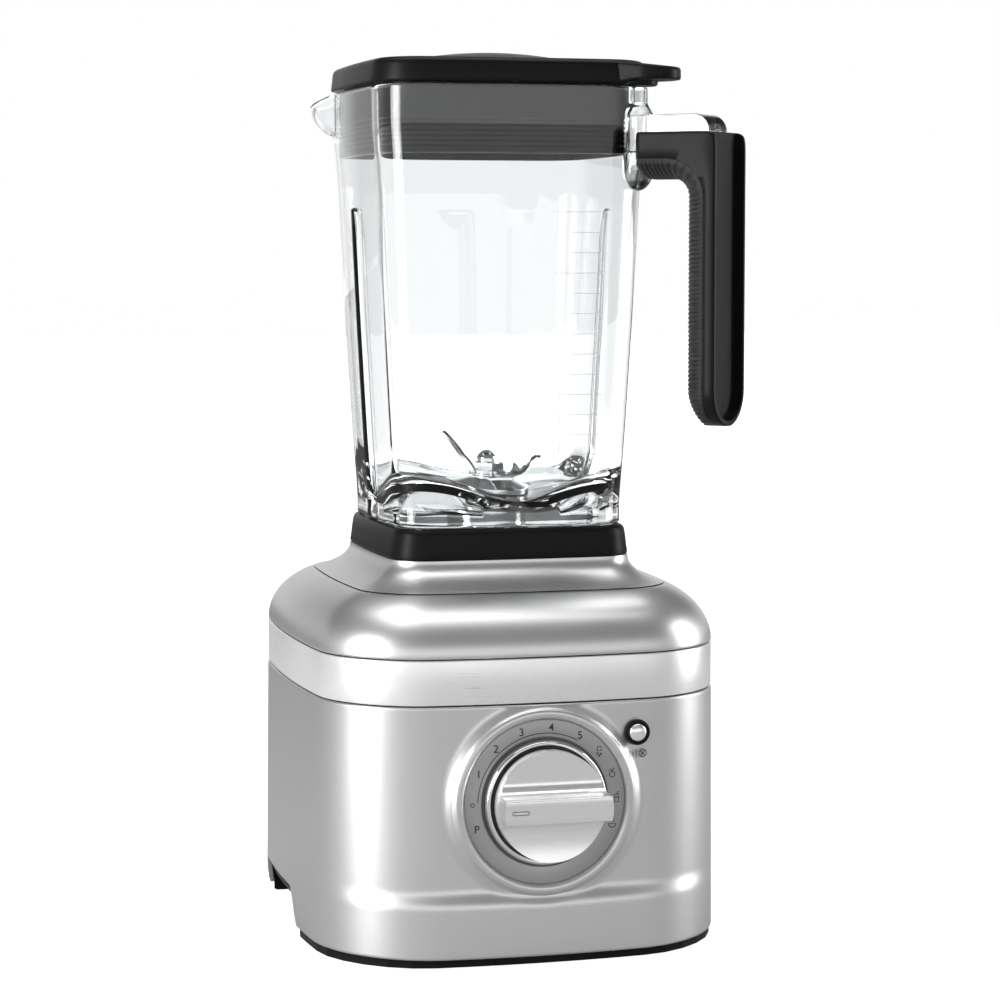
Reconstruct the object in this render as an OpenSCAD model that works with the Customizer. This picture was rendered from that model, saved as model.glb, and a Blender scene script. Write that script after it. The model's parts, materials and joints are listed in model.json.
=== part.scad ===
// Countertop blender: a motor base with a speed dial, a clear fluted jar with a corner
// handle and a spout, a blade set, a lid and a centre cap. Lengths are in millimetres.
// The origin is on the drive axis at table level, +Z is up and -Y is the dial side.

/* [Base] */
// Width of the body at its foot
base_w = 194.6; // [170:0.2:233.4]
// Depth of the body at its foot
base_d = 214.6; // [190:0.2:250]
// How much each side narrows from the foot to the band
base_draft = 1.4; // [0:0.2:4]
// How far the middle of each side bulges past its corners
base_bow = 7.5; // [0:0.5:12]
// How far the body's centre lies behind the drive axis
base_back = 5.2; // [0:0.2:10]
// Corner radius of the body in plan
base_corner = 45; // [30:1:55]
// Height of the black plinth
plinth_h = 5.3; // [4.5:0.1:9]
// Height of the painted body
body_h = 112.6; // [95:0.2:135]
// Height of the brushed band
band_h = 21.2; // [12:0.2:30]
// Height of the rounded dome up to its seam
dome_h = 26.1; // [20:0.1:34]
// Height of the neck above the dome's seam
neck_h = 12.8; // [9:0.1:18]
// Thickness of the metal shells
shell_wall = 2.2; // [1.4:0.2:3]
// Height of the stepped foot on the front
step_h = 29; // [20:1:36]
// How far the foot steps out on the front
step_out = 2; // [0:0.2:4]
// Height of a rubber foot below the plinth
foot_h = 1.2; // [0.8:0.2:3]
// Radius of a rubber foot
foot_r = 11; // [8:0.5:14]
// Depth of each hand recess under the sides
well_depth = 30; // [20:1:34]
// Length of each hand recess along the side
well_len = 98; // [70:1:110]
// Height of each hand recess
well_h = 16.5; // [12:0.5:22]

/* [Dial and button] */
// Height of the dial's centre
dial_z = 74.5; // [64:0.5:84]
// Radius of the marked plate
dial_plate_r = 37; // [34:0.5:40]
// Width of the raised ring round the plate
dial_rim_w = 3.4; // [2:0.2:5]
// Radius of the knob's skirt
skirt_r = 28; // [24:0.5:30]
// Radius of the knob's face
knob_r = 24.6; // [20:0.2:26]
// Height of the knob's grip bar
bar_h = 11; // [8:0.5:14]
// How far the grip bar stands out of the knob's face
bar_out = 10; // [6:0.5:14]
// Sideways place of the start button
button_x = 43.5; // [40:0.5:50]
// Height of the start button's centre
button_z = 103.5; // [98:0.5:108]
// Radius of the start button
button_r = 4; // [3:0.2:5]
// Travel of the start button
button_travel = 1.5; // [1:0.1:2]

/* [Jar] */
// Height of the black collar under the jar
collar_h = 14; // [11:0.5:18]
// Half width of the jar at its foot
jar_foot = 55; // [50:0.5:60]
// Half width of the jar at its rim
jar_rim = 65.4; // [60:0.2:70]
// Height of the clear jar
jar_h = 200; // [160:1:240]
// Thickness of the jar's wall
jar_wall = 3; // [2.4:0.2:3.6]
// Depth of the flute in each wall
flute_depth = 5; // [2:0.5:7]
// Half width of each flute
flute_half = 9; // [6:0.5:12]
// How far the spout reaches past the corner
spout_out = 16; // [8:1:20]
// Reach of the handle from the drive axis
handle_reach = 127; // [120:1:134]
// Width of the handle
handle_w = 33; // [26:1:36]
// Depth of the grip from its outer to its inner face
grip_deep = 18; // [16:0.5:22]
// Length of the grip from its top to its free end
grip_len = 132; // [110:1:145]

/* [Blades] */
// Radius of the blade shaft
shaft_r = 4; // [3:0.5:5]
// Thickness of each blade
blade_t = 1.6; // [1.2:0.1:2]
// Reach of the upper blade's fork
fork_reach = 25; // [20:1:30]
// Height of the tall tine above the upper blade
tall_tine = 22; // [14:1:26]

/* [Lid] */
// Height of the lid's rim
lid_h = 11; // [8:0.5:14]
// Depth of the lid's plug inside the jar
plug_deep = 31.5; // [20:0.5:38]
// Radius of the opening for the centre cap
cap_hole_r = 35; // [28:0.5:40]
// How far the cap's dome rises over the lid
cap_rise = 5.4; // [3:0.2:8]
// How far the pull tab reaches past the lid's corner
tab_reach = 15.5; // [8:0.5:20]

/* [Motor] */
// Radius of the rotor
rotor_r = 26; // [20:0.5:30]
// Length of the rotor and stator stack
stack_h = 45; // [35:1:50]
// Side of the stator block
stator_side = 82; // [72:1:90]
// Radius of the drive coupler
coupler_r = 15; // [12:0.5:18]

/* [Clearances] */
// Radial clearance of shafts in their bushes
run_gap = 0.05; // [0.02:0.01:0.1]
// Gap between parts that lift off or turn past each other
loose_gap = 0.4; // [0.3:0.05:0.8]

/* [Hidden] */
$fn = 48;

// Levels up the drive axis
body_z = plinth_h;
band_z = body_z + body_h;
dome_z = band_z + band_h;
seam_z = dome_z + dome_h;
neck_z = seam_z + neck_h;
jar_z = neck_z + collar_h;
rim_z = jar_z + jar_h;

// Base sections: a half width, b half depth, corner radius, bow and shift to the rear
foot_a = base_w / 2;
foot_b = base_d / 2;
top_a = foot_a - base_draft;
top_b = foot_b - base_draft / 2;
top_corner = base_corner - 3 * base_draft;
neck_a = 57.9;
neck_b = 58.8;
neck_corner = 15;
neck_bow = 2.3;
dome_rise = 29.3 * dome_h / 26.1;
dome_end = asin(dome_h / dome_rise);
neck_bend = 15 * neck_h / 12.8;
neck_spread = cos(dome_end) / (1 - sqrt(1 - pow(neck_h / neck_bend, 2)));

corner_n = 6;
side_n = 6;
jar_side_n = 12;

// Points of one side, from +half to -half, even or crowded into the flute's width
function even(half) = [for (k = [1:side_n - 1]) half * (1 - 2 * k / side_n)];
function fluted(half, w) = [
    (half + w) / 2,
    for (k = [0:8]) w * (1 - k / 4),
    -(half + w) / 2];

// A bulging rounded rectangle, counter-clockwise from the middle of its right corner arc
function bowed(p, a, b, bow) =
    [p.x * (1 - bow / a * pow(p.y / b, 2)), p.y * (1 - bow / b * pow(p.x / a, 2))];
function turned(p, q) = q == 0 ? p : turned([-p.y, p.x], q - 1);
function quarter(q, a, b, r, mids) =
    let (u = q % 2 == 0 ? a : b, v = q % 2 == 0 ? b : a)
    concat(
        [for (k = [0:corner_n]) let (t = 90 * k / corner_n)
            turned([u - r + r * cos(t), v - r + r * sin(t)], q)],
        [for (s = mids) turned([s, v], q)]);
function ring(a, b, r, bow, back) =
    [for (q = [0:3]) each
        [for (p = quarter(q, a, b, r, even((q % 2 == 0 ? a : b) - r)))
            bowed(p, a, b, bow) + [0, back]]];
function raised(points, z) = [for (p = points) [p.x, p.y, z]];

// Blend from the neck's section at w = 0 to the dome's foot at w = 1, drawn in by inset
function blend_ring(w, inset) = ring(
    neck_a + (top_a - 0.3 - neck_a) * w - inset,
    neck_b + (top_b + 0.3 - neck_b) * w - inset,
    max(neck_corner + (top_corner - 0.3 - neck_corner) * w - inset, 4),
    neck_bow + (base_bow - neck_bow) * w,
    base_back * w);
function foot_ring(inset) = ring(foot_a - inset, foot_b - inset, base_corner - inset,
    base_bow, base_back);
function top_ring(inset) = ring(top_a - inset, top_b - inset, top_corner - inset,
    base_bow, base_back);

// Walls between the rings of a skin, each cell as two triangles
function cell(i, j, m, n) =
    let (i2 = (i + 1) % m, j2 = (j + 1) % n)
    [[i * n + j, i2 * n + j, i2 * n + j2], [i * n + j, i2 * n + j2, i * n + j2]];
module skin(rings, looped = false) {
    m = len(rings);
    n = len(rings[0]);
    walls = [for (i = [0:looped ? m - 1 : m - 2]) for (j = [0:n - 1]) each cell(i, j, m, n)];
    ends = looped ? [] : [[for (j = [0:n - 1]) j], [for (j = [n - 1:-1:0]) (m - 1) * n + j]];
    polyhedron(points = [for (r = rings) each r], faces = concat(walls, ends), convexity = 8);
}
module tube(r_out, r_in, h) {
    difference() {
        cylinder(r = r_out, h = h);
        translate([0, 0, -1]) cylinder(r = r_in, h = h + 2);
    }
}

// ---- Base shells ----
// The front's foot stands out by step_out and curves back in above step_h
function smooth(t) = let (c = min(max(t, 0), 1)) c * c * (3 - 2 * c);
function step_at(z) = step_out * (1 - smooth((z - step_h + 2) / 9));
function stepped(p, z) = p.y > 0 ? [p.x, p.y, z] :
    [p.x, p.y - step_at(z) * pow(max(0, 1 - pow(p.x / (foot_a - 12), 2)), 0.6), z];
function body_ring(z) =
    let (t = (z - body_z) / body_h)
    [for (p = ring(foot_a + (top_a - foot_a) * t, foot_b + (top_b - foot_b) * t,
        base_corner + (top_corner - base_corner) * t, base_bow, base_back)) stepped(p, z)];
step_levels = [step_h - 2, step_h, step_h + 2, step_h + 3.5, step_h + 5, step_h + 7];
well_y = 28;
well_slope = 12;
module arch(grow) {
    polygon([
        [-well_len / 2 - grow, -1],
        [-well_len / 2 - grow, 1],
        for (k = [0:6]) let (t = 90 * k / 6)
            [-well_len / 2 + well_slope * (1 - cos(t)) - grow, (well_h + grow) * sin(t) + 0.01],
        for (k = [6:-1:0]) let (t = 90 * k / 6)
            [well_len / 2 - well_slope * (1 - cos(t)) + grow, (well_h + grow) * sin(t) + 0.01],
        [well_len / 2 + grow, 1],
        [well_len / 2 + grow, -1]]);
}
// The recess as a bar along X, from the inside depth out past the side
module well(side, grow, inner, outer) {
    mirror([side < 0 ? 1 : 0, 0, 0])
        translate([inner, well_y, 0]) rotate([90, 0, 90])
            linear_extrude(outer - inner) arch(grow);
}
face_y = -(foot_b - base_back);
vent_n = 9;
vent_pitch = 9;
inlet_x = 52;
inlet_z = 24;
inlet_r = 7;
inlet_bore = 3.6;
rear_y = foot_b + base_back - base_bow * pow(inlet_x / foot_a, 2);
module body_shell() {
    color("#a9abad") difference() {
        skin(concat(
            [body_ring(body_z)],
            [for (z = step_levels) body_ring(z)],
            [body_ring(band_z), raised(top_ring(shell_wall), band_z),
                raised(foot_ring(shell_wall), body_z)]), looped = true);
        for (side = [-1, 1]) well(side, 0, foot_a - base_bow - 12, foot_a + 10);
        on_dial(-20) cylinder(r = 9, h = 40);
        on_button(-20) cylinder(r = button_r + 1.1, h = 40);
        for (k = [0:vent_n - 1])
            translate([(k - (vent_n - 1) / 2) * vent_pitch - 1.5, base_d / 2 - 12, body_z + 40])
                cube([3, 30, 34]);
        translate([inlet_x, rear_y - 12, inlet_z]) rotate([-90, 0, 0])
            cylinder(r = inlet_r - 1.5, h = 30);
    }
}
module trim_band() {
    color("#d4d5d6") translate([0, 0, band_z + 0.6]) linear_extrude(band_h - 1.2) difference() {
        polygon(top_ring(0.3));
        polygon(top_ring(0.3 + shell_wall));
    }
}
module band_gaskets() {
    color("#2b2b2c") for (z = [band_z, dome_z - 0.6]) translate([0, 0, z])
        linear_extrude(0.6) difference() {
            polygon(top_ring(1));
            polygon(top_ring(shell_wall));
        }
}
dome_n = 9;
module dome_shell() {
    angles = [for (k = [0:dome_n]) dome_end * k / dome_n];
    color("#a9abad") skin(concat(
        [for (t = angles) raised(blend_ring(cos(t), 0), dome_z + dome_rise * sin(t))],
        [for (k = [dome_n:-3:0]) let (t = angles[k])
            raised(blend_ring(cos(t), shell_wall), dome_z + (dome_rise - shell_wall) * sin(t))]),
        looped = true);
}
neck_n = 6;
well_r = 30;
function neck_w(z) = neck_spread * (1 - sqrt(1 - pow((neck_z - z) / neck_bend, 2)));
function round_ring(points, r, z) = [for (p = points)
    let (k = r / norm([p.x, p.y])) [k * p.x, k * p.y, z]];
module neck_shell() {
    levels = [for (k = [0:neck_n]) seam_z + neck_h * sin(90 * k / neck_n)];
    top = blend_ring(0, 0);
    low = neck_z - 3;
    color("#a9abad") skin(concat(
        [for (z = levels) raised(blend_ring(neck_w(z), 0), z)],
        [round_ring(top, well_r, neck_z), round_ring(top, well_r, low),
            raised(blend_ring(0, shell_wall), low),
            raised(blend_ring(neck_w(seam_z + 3), shell_wall), seam_z + 3),
            raised(blend_ring(neck_w(seam_z), shell_wall), seam_z)]), looped = true);
}
seat_half = 40;
seat_h = 6;
module seat_shape(grow) {
    polygon(ring(seat_half + grow, seat_half + grow, 12 + grow, 0, 0));
}
module jar_seat() {
    color("#202122") translate([0, 0, neck_z]) difference() {
        linear_extrude(seat_h) seat_shape(0);
        translate([0, 0, -1]) cylinder(r = well_r, h = seat_h + 2);
    }
}
plinth_inset = 1.4;
rib_h = 10;
screw_x = 58;
screw_y = 78;
foot_x = 62;
foot_y = 80;
module plate_spots(x, y) {
    for (sx = [-1, 1]) for (sy = [-1, 1]) translate([sx * x, sy * y + base_back, 0]) children();
}
well_floor = foot_a - well_depth;
well_wall = 2;
module bottom_plate() {
    color("#232425") difference() {
        union() {
            translate([0, 0, foot_h]) linear_extrude(plinth_h - foot_h)
                polygon(ring(foot_a - plinth_inset, foot_b - plinth_inset,
                    base_corner - plinth_inset, base_bow, base_back));
            plate_spots(screw_x, screw_y) translate([0, 0, plinth_h]) cylinder(r = 5, h = rib_h);
        }
        for (side = [-1, 1]) well(side, well_wall, well_floor - well_wall, foot_a + 5);
        plate_spots(foot_x, foot_y) cylinder(r = foot_r, h = foot_h + 1.8);
        cylinder(r = foot_r, h = foot_h + 1.8);
        plate_spots(screw_x, screw_y) translate([0, 0, foot_h + 1.8]) cylinder(r = 1.6, h = 40);
        for (k = [-4:4]) for (y = [-46, 20]) translate([k * 8 - 1.5, y, 0]) cube([3, 26, 20]);
    }
}
// Liners that close the hand recesses towards the inside
module hand_wells() {
    color("#232425") for (side = [-1, 1]) difference() {
        intersection() {
            well(side, well_wall, well_floor - well_wall, foot_a);
            translate([0, 0, foot_h]) linear_extrude(60) polygon(foot_ring(shell_wall + 0.6));
        }
        well(side, 0, well_floor, foot_a + 5);
        plate_spots(foot_x, foot_y) cylinder(r = foot_r, h = foot_h + 1.8);
    }
}
module foot() {
    cylinder(r = foot_r - 1, h = 0.6);
    translate([0, 0, 0.6]) cylinder(r = foot_r, h = foot_h + 1.2);
}
module feet() {
    color("#1a1a1a") {
        plate_spots(foot_x, foot_y) foot();
        foot();
    }
}
module plate_screws() {
    color("#8d8f92") plate_spots(screw_x, screw_y)
        translate([0, 0, foot_h + 1.8]) cylinder(r = 1.6, h = 10);
}

// ---- Motor ----
stack_z = 62;
stack_top = stack_z + stack_h;
bearing_r = 11;
bearing_h = 8;
low_bracket_z = 24;
high_bracket_z = stack_top + 26;
post_at = stator_side / 2 - 8;
module corners4(d) {
    for (a = [45:90:315]) rotate(a) translate([d * sqrt(2), 0, 0]) children();
}
module motor_stator() {
    color("#7b7d80") translate([0, 0, stack_z]) difference() {
        translate([-stator_side / 2, -stator_side / 2, 0])
            cube([stator_side, stator_side, stack_h]);
        translate([0, 0, -1]) cylinder(r = rotor_r + 0.6, h = stack_h + 2);
        for (a = [0, 180]) rotate(a) translate([rotor_r - 2, -12, -1])
            cube([9, 24, stack_h + 2]);
    }
}
coil_h = 9;
module field_coils() {
    color("#b4622d") for (z = [stack_z - coil_h, stack_top]) for (a = [0, 180])
        translate([0, 0, z]) rotate(a) intersection() {
            tube(rotor_r + 12, rotor_r + 2.5, coil_h);
            translate([0, -22, -1]) cube([60, 44, coil_h + 2]);
        }
}
module bracket(z, post_z, post_h) {
    difference() {
        union() {
            translate([-post_at - 6, -9, z]) cube([2 * post_at + 12, 18, 5]);
            translate([-9, -post_at - 6, z]) cube([18, 2 * post_at + 12, 5]);
            translate([-post_at, -post_at, z]) difference() {
                cube([2 * post_at, 2 * post_at, 5]);
                translate([8, 8, -1]) cube([2 * post_at - 16, 2 * post_at - 16, 7]);
            }
            translate([0, 0, z]) cylinder(r = bearing_r + 4, h = bearing_h + 2);
            corners4(post_at) translate([0, 0, post_z]) cylinder(r = 4, h = post_h);
        }
        translate([0, 0, z - 1]) cylinder(r = shaft_r + 1.5, h = 4);
        translate([0, 0, z + 2]) cylinder(r = bearing_r, h = bearing_h + 1);
        corners4(post_at) translate([0, 0, post_z - 10]) cylinder(r = 1.7, h = post_h + 20);
    }
}
module upper_bracket() {
    color("#a7a9ac") bracket(high_bracket_z, stack_top, high_bracket_z + 5 - stack_top);
}
module lower_bracket() {
    color("#a7a9ac") bracket(low_bracket_z, low_bracket_z - 1, stack_z - low_bracket_z + 1);
}
module bearing(z) {
    color("#c9cbcd") translate([0, 0, z]) tube(bearing_r, shaft_r + run_gap, bearing_h);
}
module upper_bearing() {
    bearing(high_bracket_z + 2);
}
module lower_bearing() {
    bearing(low_bracket_z + 2);
}
comm_r = 13;
comm_z = 39;
comm_h = 12;
brush_w = 6;
brush_h = 8;
module brush_sides() {
    for (a = [90, 270]) rotate(a) translate([0, 0, comm_z + comm_h / 2]) children();
}
module brush_holders() {
    color("#b58a3a") brush_sides() difference() {
        translate([comm_r + 3, -brush_w / 2 - 1.5, -brush_h / 2 - 1.5])
            cube([24, brush_w + 3, brush_h + 3]);
        translate([comm_r, -brush_w / 2, -brush_h / 2]) cube([25, brush_w, brush_h]);
    }
}
module carbon_brushes() {
    color("#3a3a3c") brush_sides() difference() {
        translate([0, -brush_w / 2, -brush_h / 2]) cube([comm_r + 15, brush_w, brush_h]);
        translate([0, 0, -20]) cylinder(r = comm_r + 0.1, h = 40);
    }
}
module brush_springs() {
    color("#b9bbbe") brush_sides() translate([comm_r + 15, 0, 0]) rotate([0, 90, 0])
        for (k = [0:4]) translate([0, 0, 0.5 + 2 * k]) rotate_extrude()
            translate([2.2, 0]) circle(r = 0.4, $fn = 16);
}
module motor_shaft() {
    color("#d0d2d4") translate([0, 0, low_bracket_z + 4])
        cylinder(r = shaft_r, h = neck_z - 6 - low_bracket_z - 4);
}
slot_n = 12;
module rotor_core() {
    color("#6f7174") translate([0, 0, stack_z]) difference() {
        tube(rotor_r, shaft_r, stack_h);
        for (k = [0:slot_n - 1]) rotate(360 * k / slot_n)
            translate([rotor_r - 3, -0.9, -1]) cube([6, 1.8, stack_h + 2]);
    }
}
module rotor_windings() {
    color("#b4622d") for (z = [stack_z - 7, stack_top]) translate([0, 0, z])
        rotate_extrude() polygon([[comm_r - 3, 0.5], [rotor_r - 5, 0], [rotor_r - 3, 2],
            [rotor_r - 3, 5], [rotor_r - 5, 7], [comm_r - 3, 6.5]]);
}
bar_n = 24;
module commutator() {
    color("#c07b3a") translate([0, 0, comm_z]) difference() {
        tube(comm_r, shaft_r, comm_h);
        for (k = [0:bar_n - 1]) rotate(360 * k / bar_n)
            translate([comm_r - 1, -0.25, 2]) cube([3, 0.5, comm_h]);
    }
}
fan_z = stack_top + 10;
fan_r = 33;
fan_n = 9;
module cooling_fan() {
    color("#3b3d40") translate([0, 0, fan_z]) {
        tube(9, shaft_r, 12);
        difference() {
            tube(fan_r, 8, 1.8);
            for (k = [0:5]) rotate(60 * k) translate([14, 0, -1]) cylinder(r = 2, h = 4);
        }
        for (k = [0:fan_n - 1]) rotate(360 * k / fan_n) translate([18, -0.8, 1])
            cube([fan_r - 19, 1.6, 10]);
    }
}
lug_n = 6;
lug_z = neck_z - 2;
lug_h = 7;
module star(grow) {
    circle(r = coupler_r * 0.62 + grow);
    for (k = [0:lug_n - 1]) rotate(360 * k / lug_n)
        translate([0, -2.6 - grow]) square([coupler_r + grow, 5.2 + 2 * grow]);
}
module drive_coupler() {
    color("#26272a") difference() {
        union() {
            translate([0, 0, lug_z - 5]) cylinder(r = coupler_r + 2, h = 5);
            translate([0, 0, lug_z]) linear_extrude(lug_h) star(0);
        }
        translate([0, 0, lug_z - 6]) cylinder(r = shaft_r, h = neck_z - 5 - lug_z + 5);
    }
}

// ---- Controls and power ----
module on_dial(out) {
    translate([0, face_y - out, dial_z]) rotate([90, 0, 0]) children();
}
module on_button(out) {
    translate([button_x, face_y + button_in - out, button_z]) rotate([90, 0, 0]) children();
}
// The front is a little further back beside the dial, because it is bowed
button_in = base_bow * pow(button_x / foot_a, 2);
dial_shaft_r = 3;
module dial_plate() {
    color("#8f9193") on_dial(0) tube(dial_plate_r, 9, 1.2);
}
module dial_rim() {
    color("#b9bbbd") difference() {
        on_dial(0) rim_shape();
        skin([for (z = [body_z, step_levels[0], step_levels[5], band_z]) body_ring(z)]);
    }
}
module rim_shape() {
    rotate_extrude() polygon([
        [dial_plate_r, -1.8],
        [dial_plate_r, 1.6],
        for (k = [0:6]) let (t = 180 - 180 * k / 6)
            [dial_plate_r + dial_rim_w / 2 + dial_rim_w / 2 * cos(t), 1.6 + 0.7 * sin(t)],
        [dial_plate_r + dial_rim_w, 0.8],
        [dial_plate_r + dial_rim_w + 2.5, -1.8]]);
}
module dial_encoder() {
    color("#2f4f7d") difference() {
        union() {
            translate([-12, face_y + shell_wall + 1.5, dial_z - 12]) cube([24, 9, 24]);
            on_dial(-shell_wall - 1.5) cylinder(r = 7, h = 2.4);
        }
        on_dial(-16) cylinder(r = dial_shaft_r + run_gap, h = 40);
    }
}
module dial_shaft() {
    color("#c4c6c8") on_dial(-9) cylinder(r = dial_shaft_r, h = 9 + 10);
}
module knob_skirt() {
    color("#55575a") on_dial(1.8) difference() {
        cylinder(r1 = skirt_r, r2 = skirt_r - 1, h = 3);
        translate([0, 0, -1]) cylinder(r = dial_shaft_r, h = 5);
    }
}
knob_out = 15;
bar_half = knob_r - 1;
module knob() {
    color("#c9cacc") difference() {
        union() {
            on_dial(4.8) rotate_extrude() polygon([
                [0, 0], [knob_r + 1.6, 0], [knob_r + 1.6, 1.4], [knob_r + 0.5, 2.2],
                for (k = [0:4]) let (t = 90 * k / 4)
                    [knob_r - 1.6 + 1.6 * cos(t), knob_out - 4.8 - 1.6 + 1.6 * sin(t)],
                [0, knob_out - 4.8]]);
            on_dial(knob_out - 4) linear_extrude(bar_out + 4) bar_shape(0);
            on_dial(knob_out - 1) flare();
        }
        on_dial(0) cylinder(r = dial_shaft_r, h = 10);
        on_dial(knob_out + bar_out - 0.5) marker_shape();
    }
}
module bar_shape(grow) {
    intersection() {
        circle(r = bar_half + grow);
        translate([-bar_half - 5, -bar_h / 2 - grow]) square([2 * bar_half + 10, bar_h + 2 * grow]);
    }
}
// Curved shoulders that lead from the knob's face up to the bar
module flare() {
    intersection() {
        cylinder(r = bar_half, h = bar_out);
        rotate([90, 0, 90]) translate([0, 0, -bar_half]) linear_extrude(2 * bar_half) polygon([
            for (k = [0:5]) let (t = 90 * k / 5)
                [-bar_h / 2 - 5 * (1 - sin(t)), 0.9 + 6 * (1 - cos(t))],
            [-bar_h / 2, 7], [bar_h / 2, 7],
            for (k = [5:-1:0]) let (t = 90 * k / 5)
                [bar_h / 2 + 5 * (1 - sin(t)), 0.9 + 6 * (1 - cos(t))]]);
    }
}
module marker_shape() {
    translate([-bar_half + 6, 0, 0]) linear_extrude(2) union() {
        square([7, 2.4], center = true);
        for (s = [-3.5, 3.5]) translate([s, 0]) circle(r = 1.2);
    }
}
module knob_marker() {
    color("#f0f0f0") intersection() {
        on_dial(knob_out + bar_out - 0.5) marker_shape();
        on_dial(knob_out + bar_out - 0.5) cylinder(r = knob_r, h = 0.4);
    }
}
bezel_w = 1.8;
module button_bezel() {
    color("#1c1c1d") on_button(-6) tube(button_r + bezel_w - 0.8, button_r + run_gap, 6.5);
    color("#1c1c1d") on_button(0.5) tube(button_r + bezel_w, button_r + run_gap, 1.3);
}
module start_button() {
    color("#d5d6d8") {
        on_button(-5) cylinder(r = button_r, h = 7);
        on_button(2) rotate_extrude() intersection() {
            translate([0, -6]) circle(r = 7.4, $fn = 64);
            square([button_r - 0.2, 5]);
        }
        on_button(-10) cylinder(r = 1.4, h = 6);
    }
}
switch_in = 10 + button_travel + 0.5;
module button_switch() {
    color("#3c3f44") on_button(-switch_in - 6) translate([-5, -5, 0]) cube([10, 10, 6]);
}
module button_spring() {
    color("#b9bbbe") on_button(-switch_in) for (k = [0:2]) translate([0, 0, 0.45 + 1.6 * k])
        rotate_extrude() translate([2.4, 0]) circle(r = 0.35, $fn = 16);
}
board_y = -84;
module control_board() {
    color("#2f6b3c") translate([-52, board_y, 20]) cube([104, 1.6, 30]);
}
module board_parts() {
    color("#45474a") {
        translate([-44, board_y + 1.6, 26]) cube([16, 12, 18]);
        for (x = [-18, -4, 10]) translate([x, board_y + 1.6, 34]) rotate([-90, 0, 0])
            cylinder(r = 5, h = 12);
        translate([24, board_y + 1.6, 24]) cube([20, 8, 4]);
        translate([24, board_y + 1.6, 34]) cube([20, 10, 12]);
    }
}
module cord_inlet() {
    color("#202122") translate([inlet_x, rear_y, inlet_z]) rotate([-90, 0, 0]) difference() {
        union() {
            translate([0, 0, -9]) cylinder(r = inlet_r - 1.5, h = 12);
            translate([0, 0, 0.9]) cylinder(r = inlet_r, h = 2.6);
            translate([0, 0, -9]) cylinder(r = inlet_r, h = 2.6);
        }
        translate([0, 0, -10]) cylinder(r = inlet_bore, h = 20);
    }
}

// ---- Jar ----
floor_z = 8;
floor_rise = 9;
lip_z = rim_z - 20;
function jar_half(z) = lookup(z, [
    [jar_z, jar_foot],
    [jar_z + 10, jar_foot],
    [jar_z + jar_h * 0.2, jar_foot + 2],
    [jar_z + jar_h * 0.45, jar_foot + 4.8],
    [jar_z + jar_h * 0.77, jar_foot + 8],
    [lip_z - 8, jar_rim - 1.2],
    [lip_z, jar_rim - 0.2],
    [rim_z, jar_rim]]);
function jar_corner(z) = 15 + 6 * (z - jar_z) / jar_h;
flute_top = jar_z + jar_h * 0.725;
flute_round = 15;
function flute_at(z) = z >= flute_top ? 0 :
    flute_depth * min(1, 0.3 + (z - jar_z) / 16)
        * (z < flute_top - flute_round ? 1
            : sqrt(1 - pow((z - flute_top + flute_round) / flute_round, 2)));
// A smooth bump over the flute's width
function bump(s) = abs(s) >= flute_half ? 0 : pow(1 - pow(s / flute_half, 2), 2);
spout_z = lip_z;
function spout_at(z) = min(1, max(0, (z - spout_z) / (rim_z - spout_z)));
function jar_quarter(q, z, inset) =
    let (a = jar_half(z) - inset, r = jar_corner(z) - inset, f = spout_at(z),
        pts = quarter(0, a, a, r, fluted(a - r, flute_half)))
    [for (k = [0:len(pts) - 1])
        let (p = pts[k], on_corner = k <= corner_n,
            way = q == 1 && on_corner ? sin(180 * k / corner_n) : 0,
            dented = on_corner ? p : [p.x, p.y - flute_at(z) * bump(p.x)],
            out = spout_out * sin(90 * f) * way / sqrt(2),
            flat = bowed(dented, a, a, neck_bow) + [out, out],
            v = turned(flat, q))
        [v.x, v.y, z - 7 * f * way]];
function jar_ring(z, inset) = [for (q = [0:3]) each jar_quarter(q, z, inset)];
outer_levels = [jar_z, jar_z + 5, jar_z + 10, jar_z + jar_h * 0.2, jar_z + jar_h * 0.45,
    flute_top - flute_round, flute_top - 8, flute_top - 4, flute_top - 1.5, flute_top,
    jar_z + jar_h * 0.77, lip_z - 8, lip_z, lip_z + 4, lip_z + 8, lip_z + 13, rim_z];
inner_levels = [rim_z, lip_z + 13, lip_z + 8, lip_z + 4, lip_z, lip_z - 8,
    jar_z + jar_h * 0.77, flute_top, flute_top - 1.5, flute_top - 4, flute_top - 8,
    flute_top - flute_round, jar_z + jar_h * 0.45, jar_z + jar_h * 0.2];
hole_r = 19;
hole_flat = hole_r / cos(9);
// The thick floor is low in the middle and waves up to the corners
function floor_ring(s) =
    let (edge = jar_ring(jar_z + floor_z + floor_rise, jar_wall))
    [for (p = edge) let (r = norm([p.x, p.y]), w = hole_r + 6 + (r - hole_r - 6) * s)
        [p.x * w / r, p.y * w / r, jar_z + floor_z + floor_rise * s * s
            + 1.6 * sin(180 * s) * cos(3 * atan2(p.y, p.x))]];
module jar() {
    foot = jar_ring(jar_z, 0);
    color("#dfe6ea", 0.4) skin(concat(
        [for (z = outer_levels) jar_ring(z, 0)],
        [for (z = inner_levels) jar_ring(z, jar_wall)],
        [for (s = [1, 0.75, 0.5, 0.25, 0]) floor_ring(s)],
        [round_ring(foot, hole_flat, jar_z + floor_z), round_ring(foot, hole_flat, jar_z)]),
        looped = true);
}

// ---- Handle, drawn at the corner between +X and -Y ----
module at_corner() {
    rotate(-45) children();
}
// Reach of the jar's corner from the axis
function corner_reach(z) = (jar_half(z) - jar_corner(z)) * sqrt(2) + jar_corner(z)
    - neck_bow;
grip_top = rim_z - 21;
arm_deep = 21;
arm_start = 86;
core_half = 10;
core_top = rim_z - 13;
core_in = handle_reach - grip_deep + 5.2;
core_out = handle_reach - 6;
core_low = grip_top - grip_len + 26;
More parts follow.
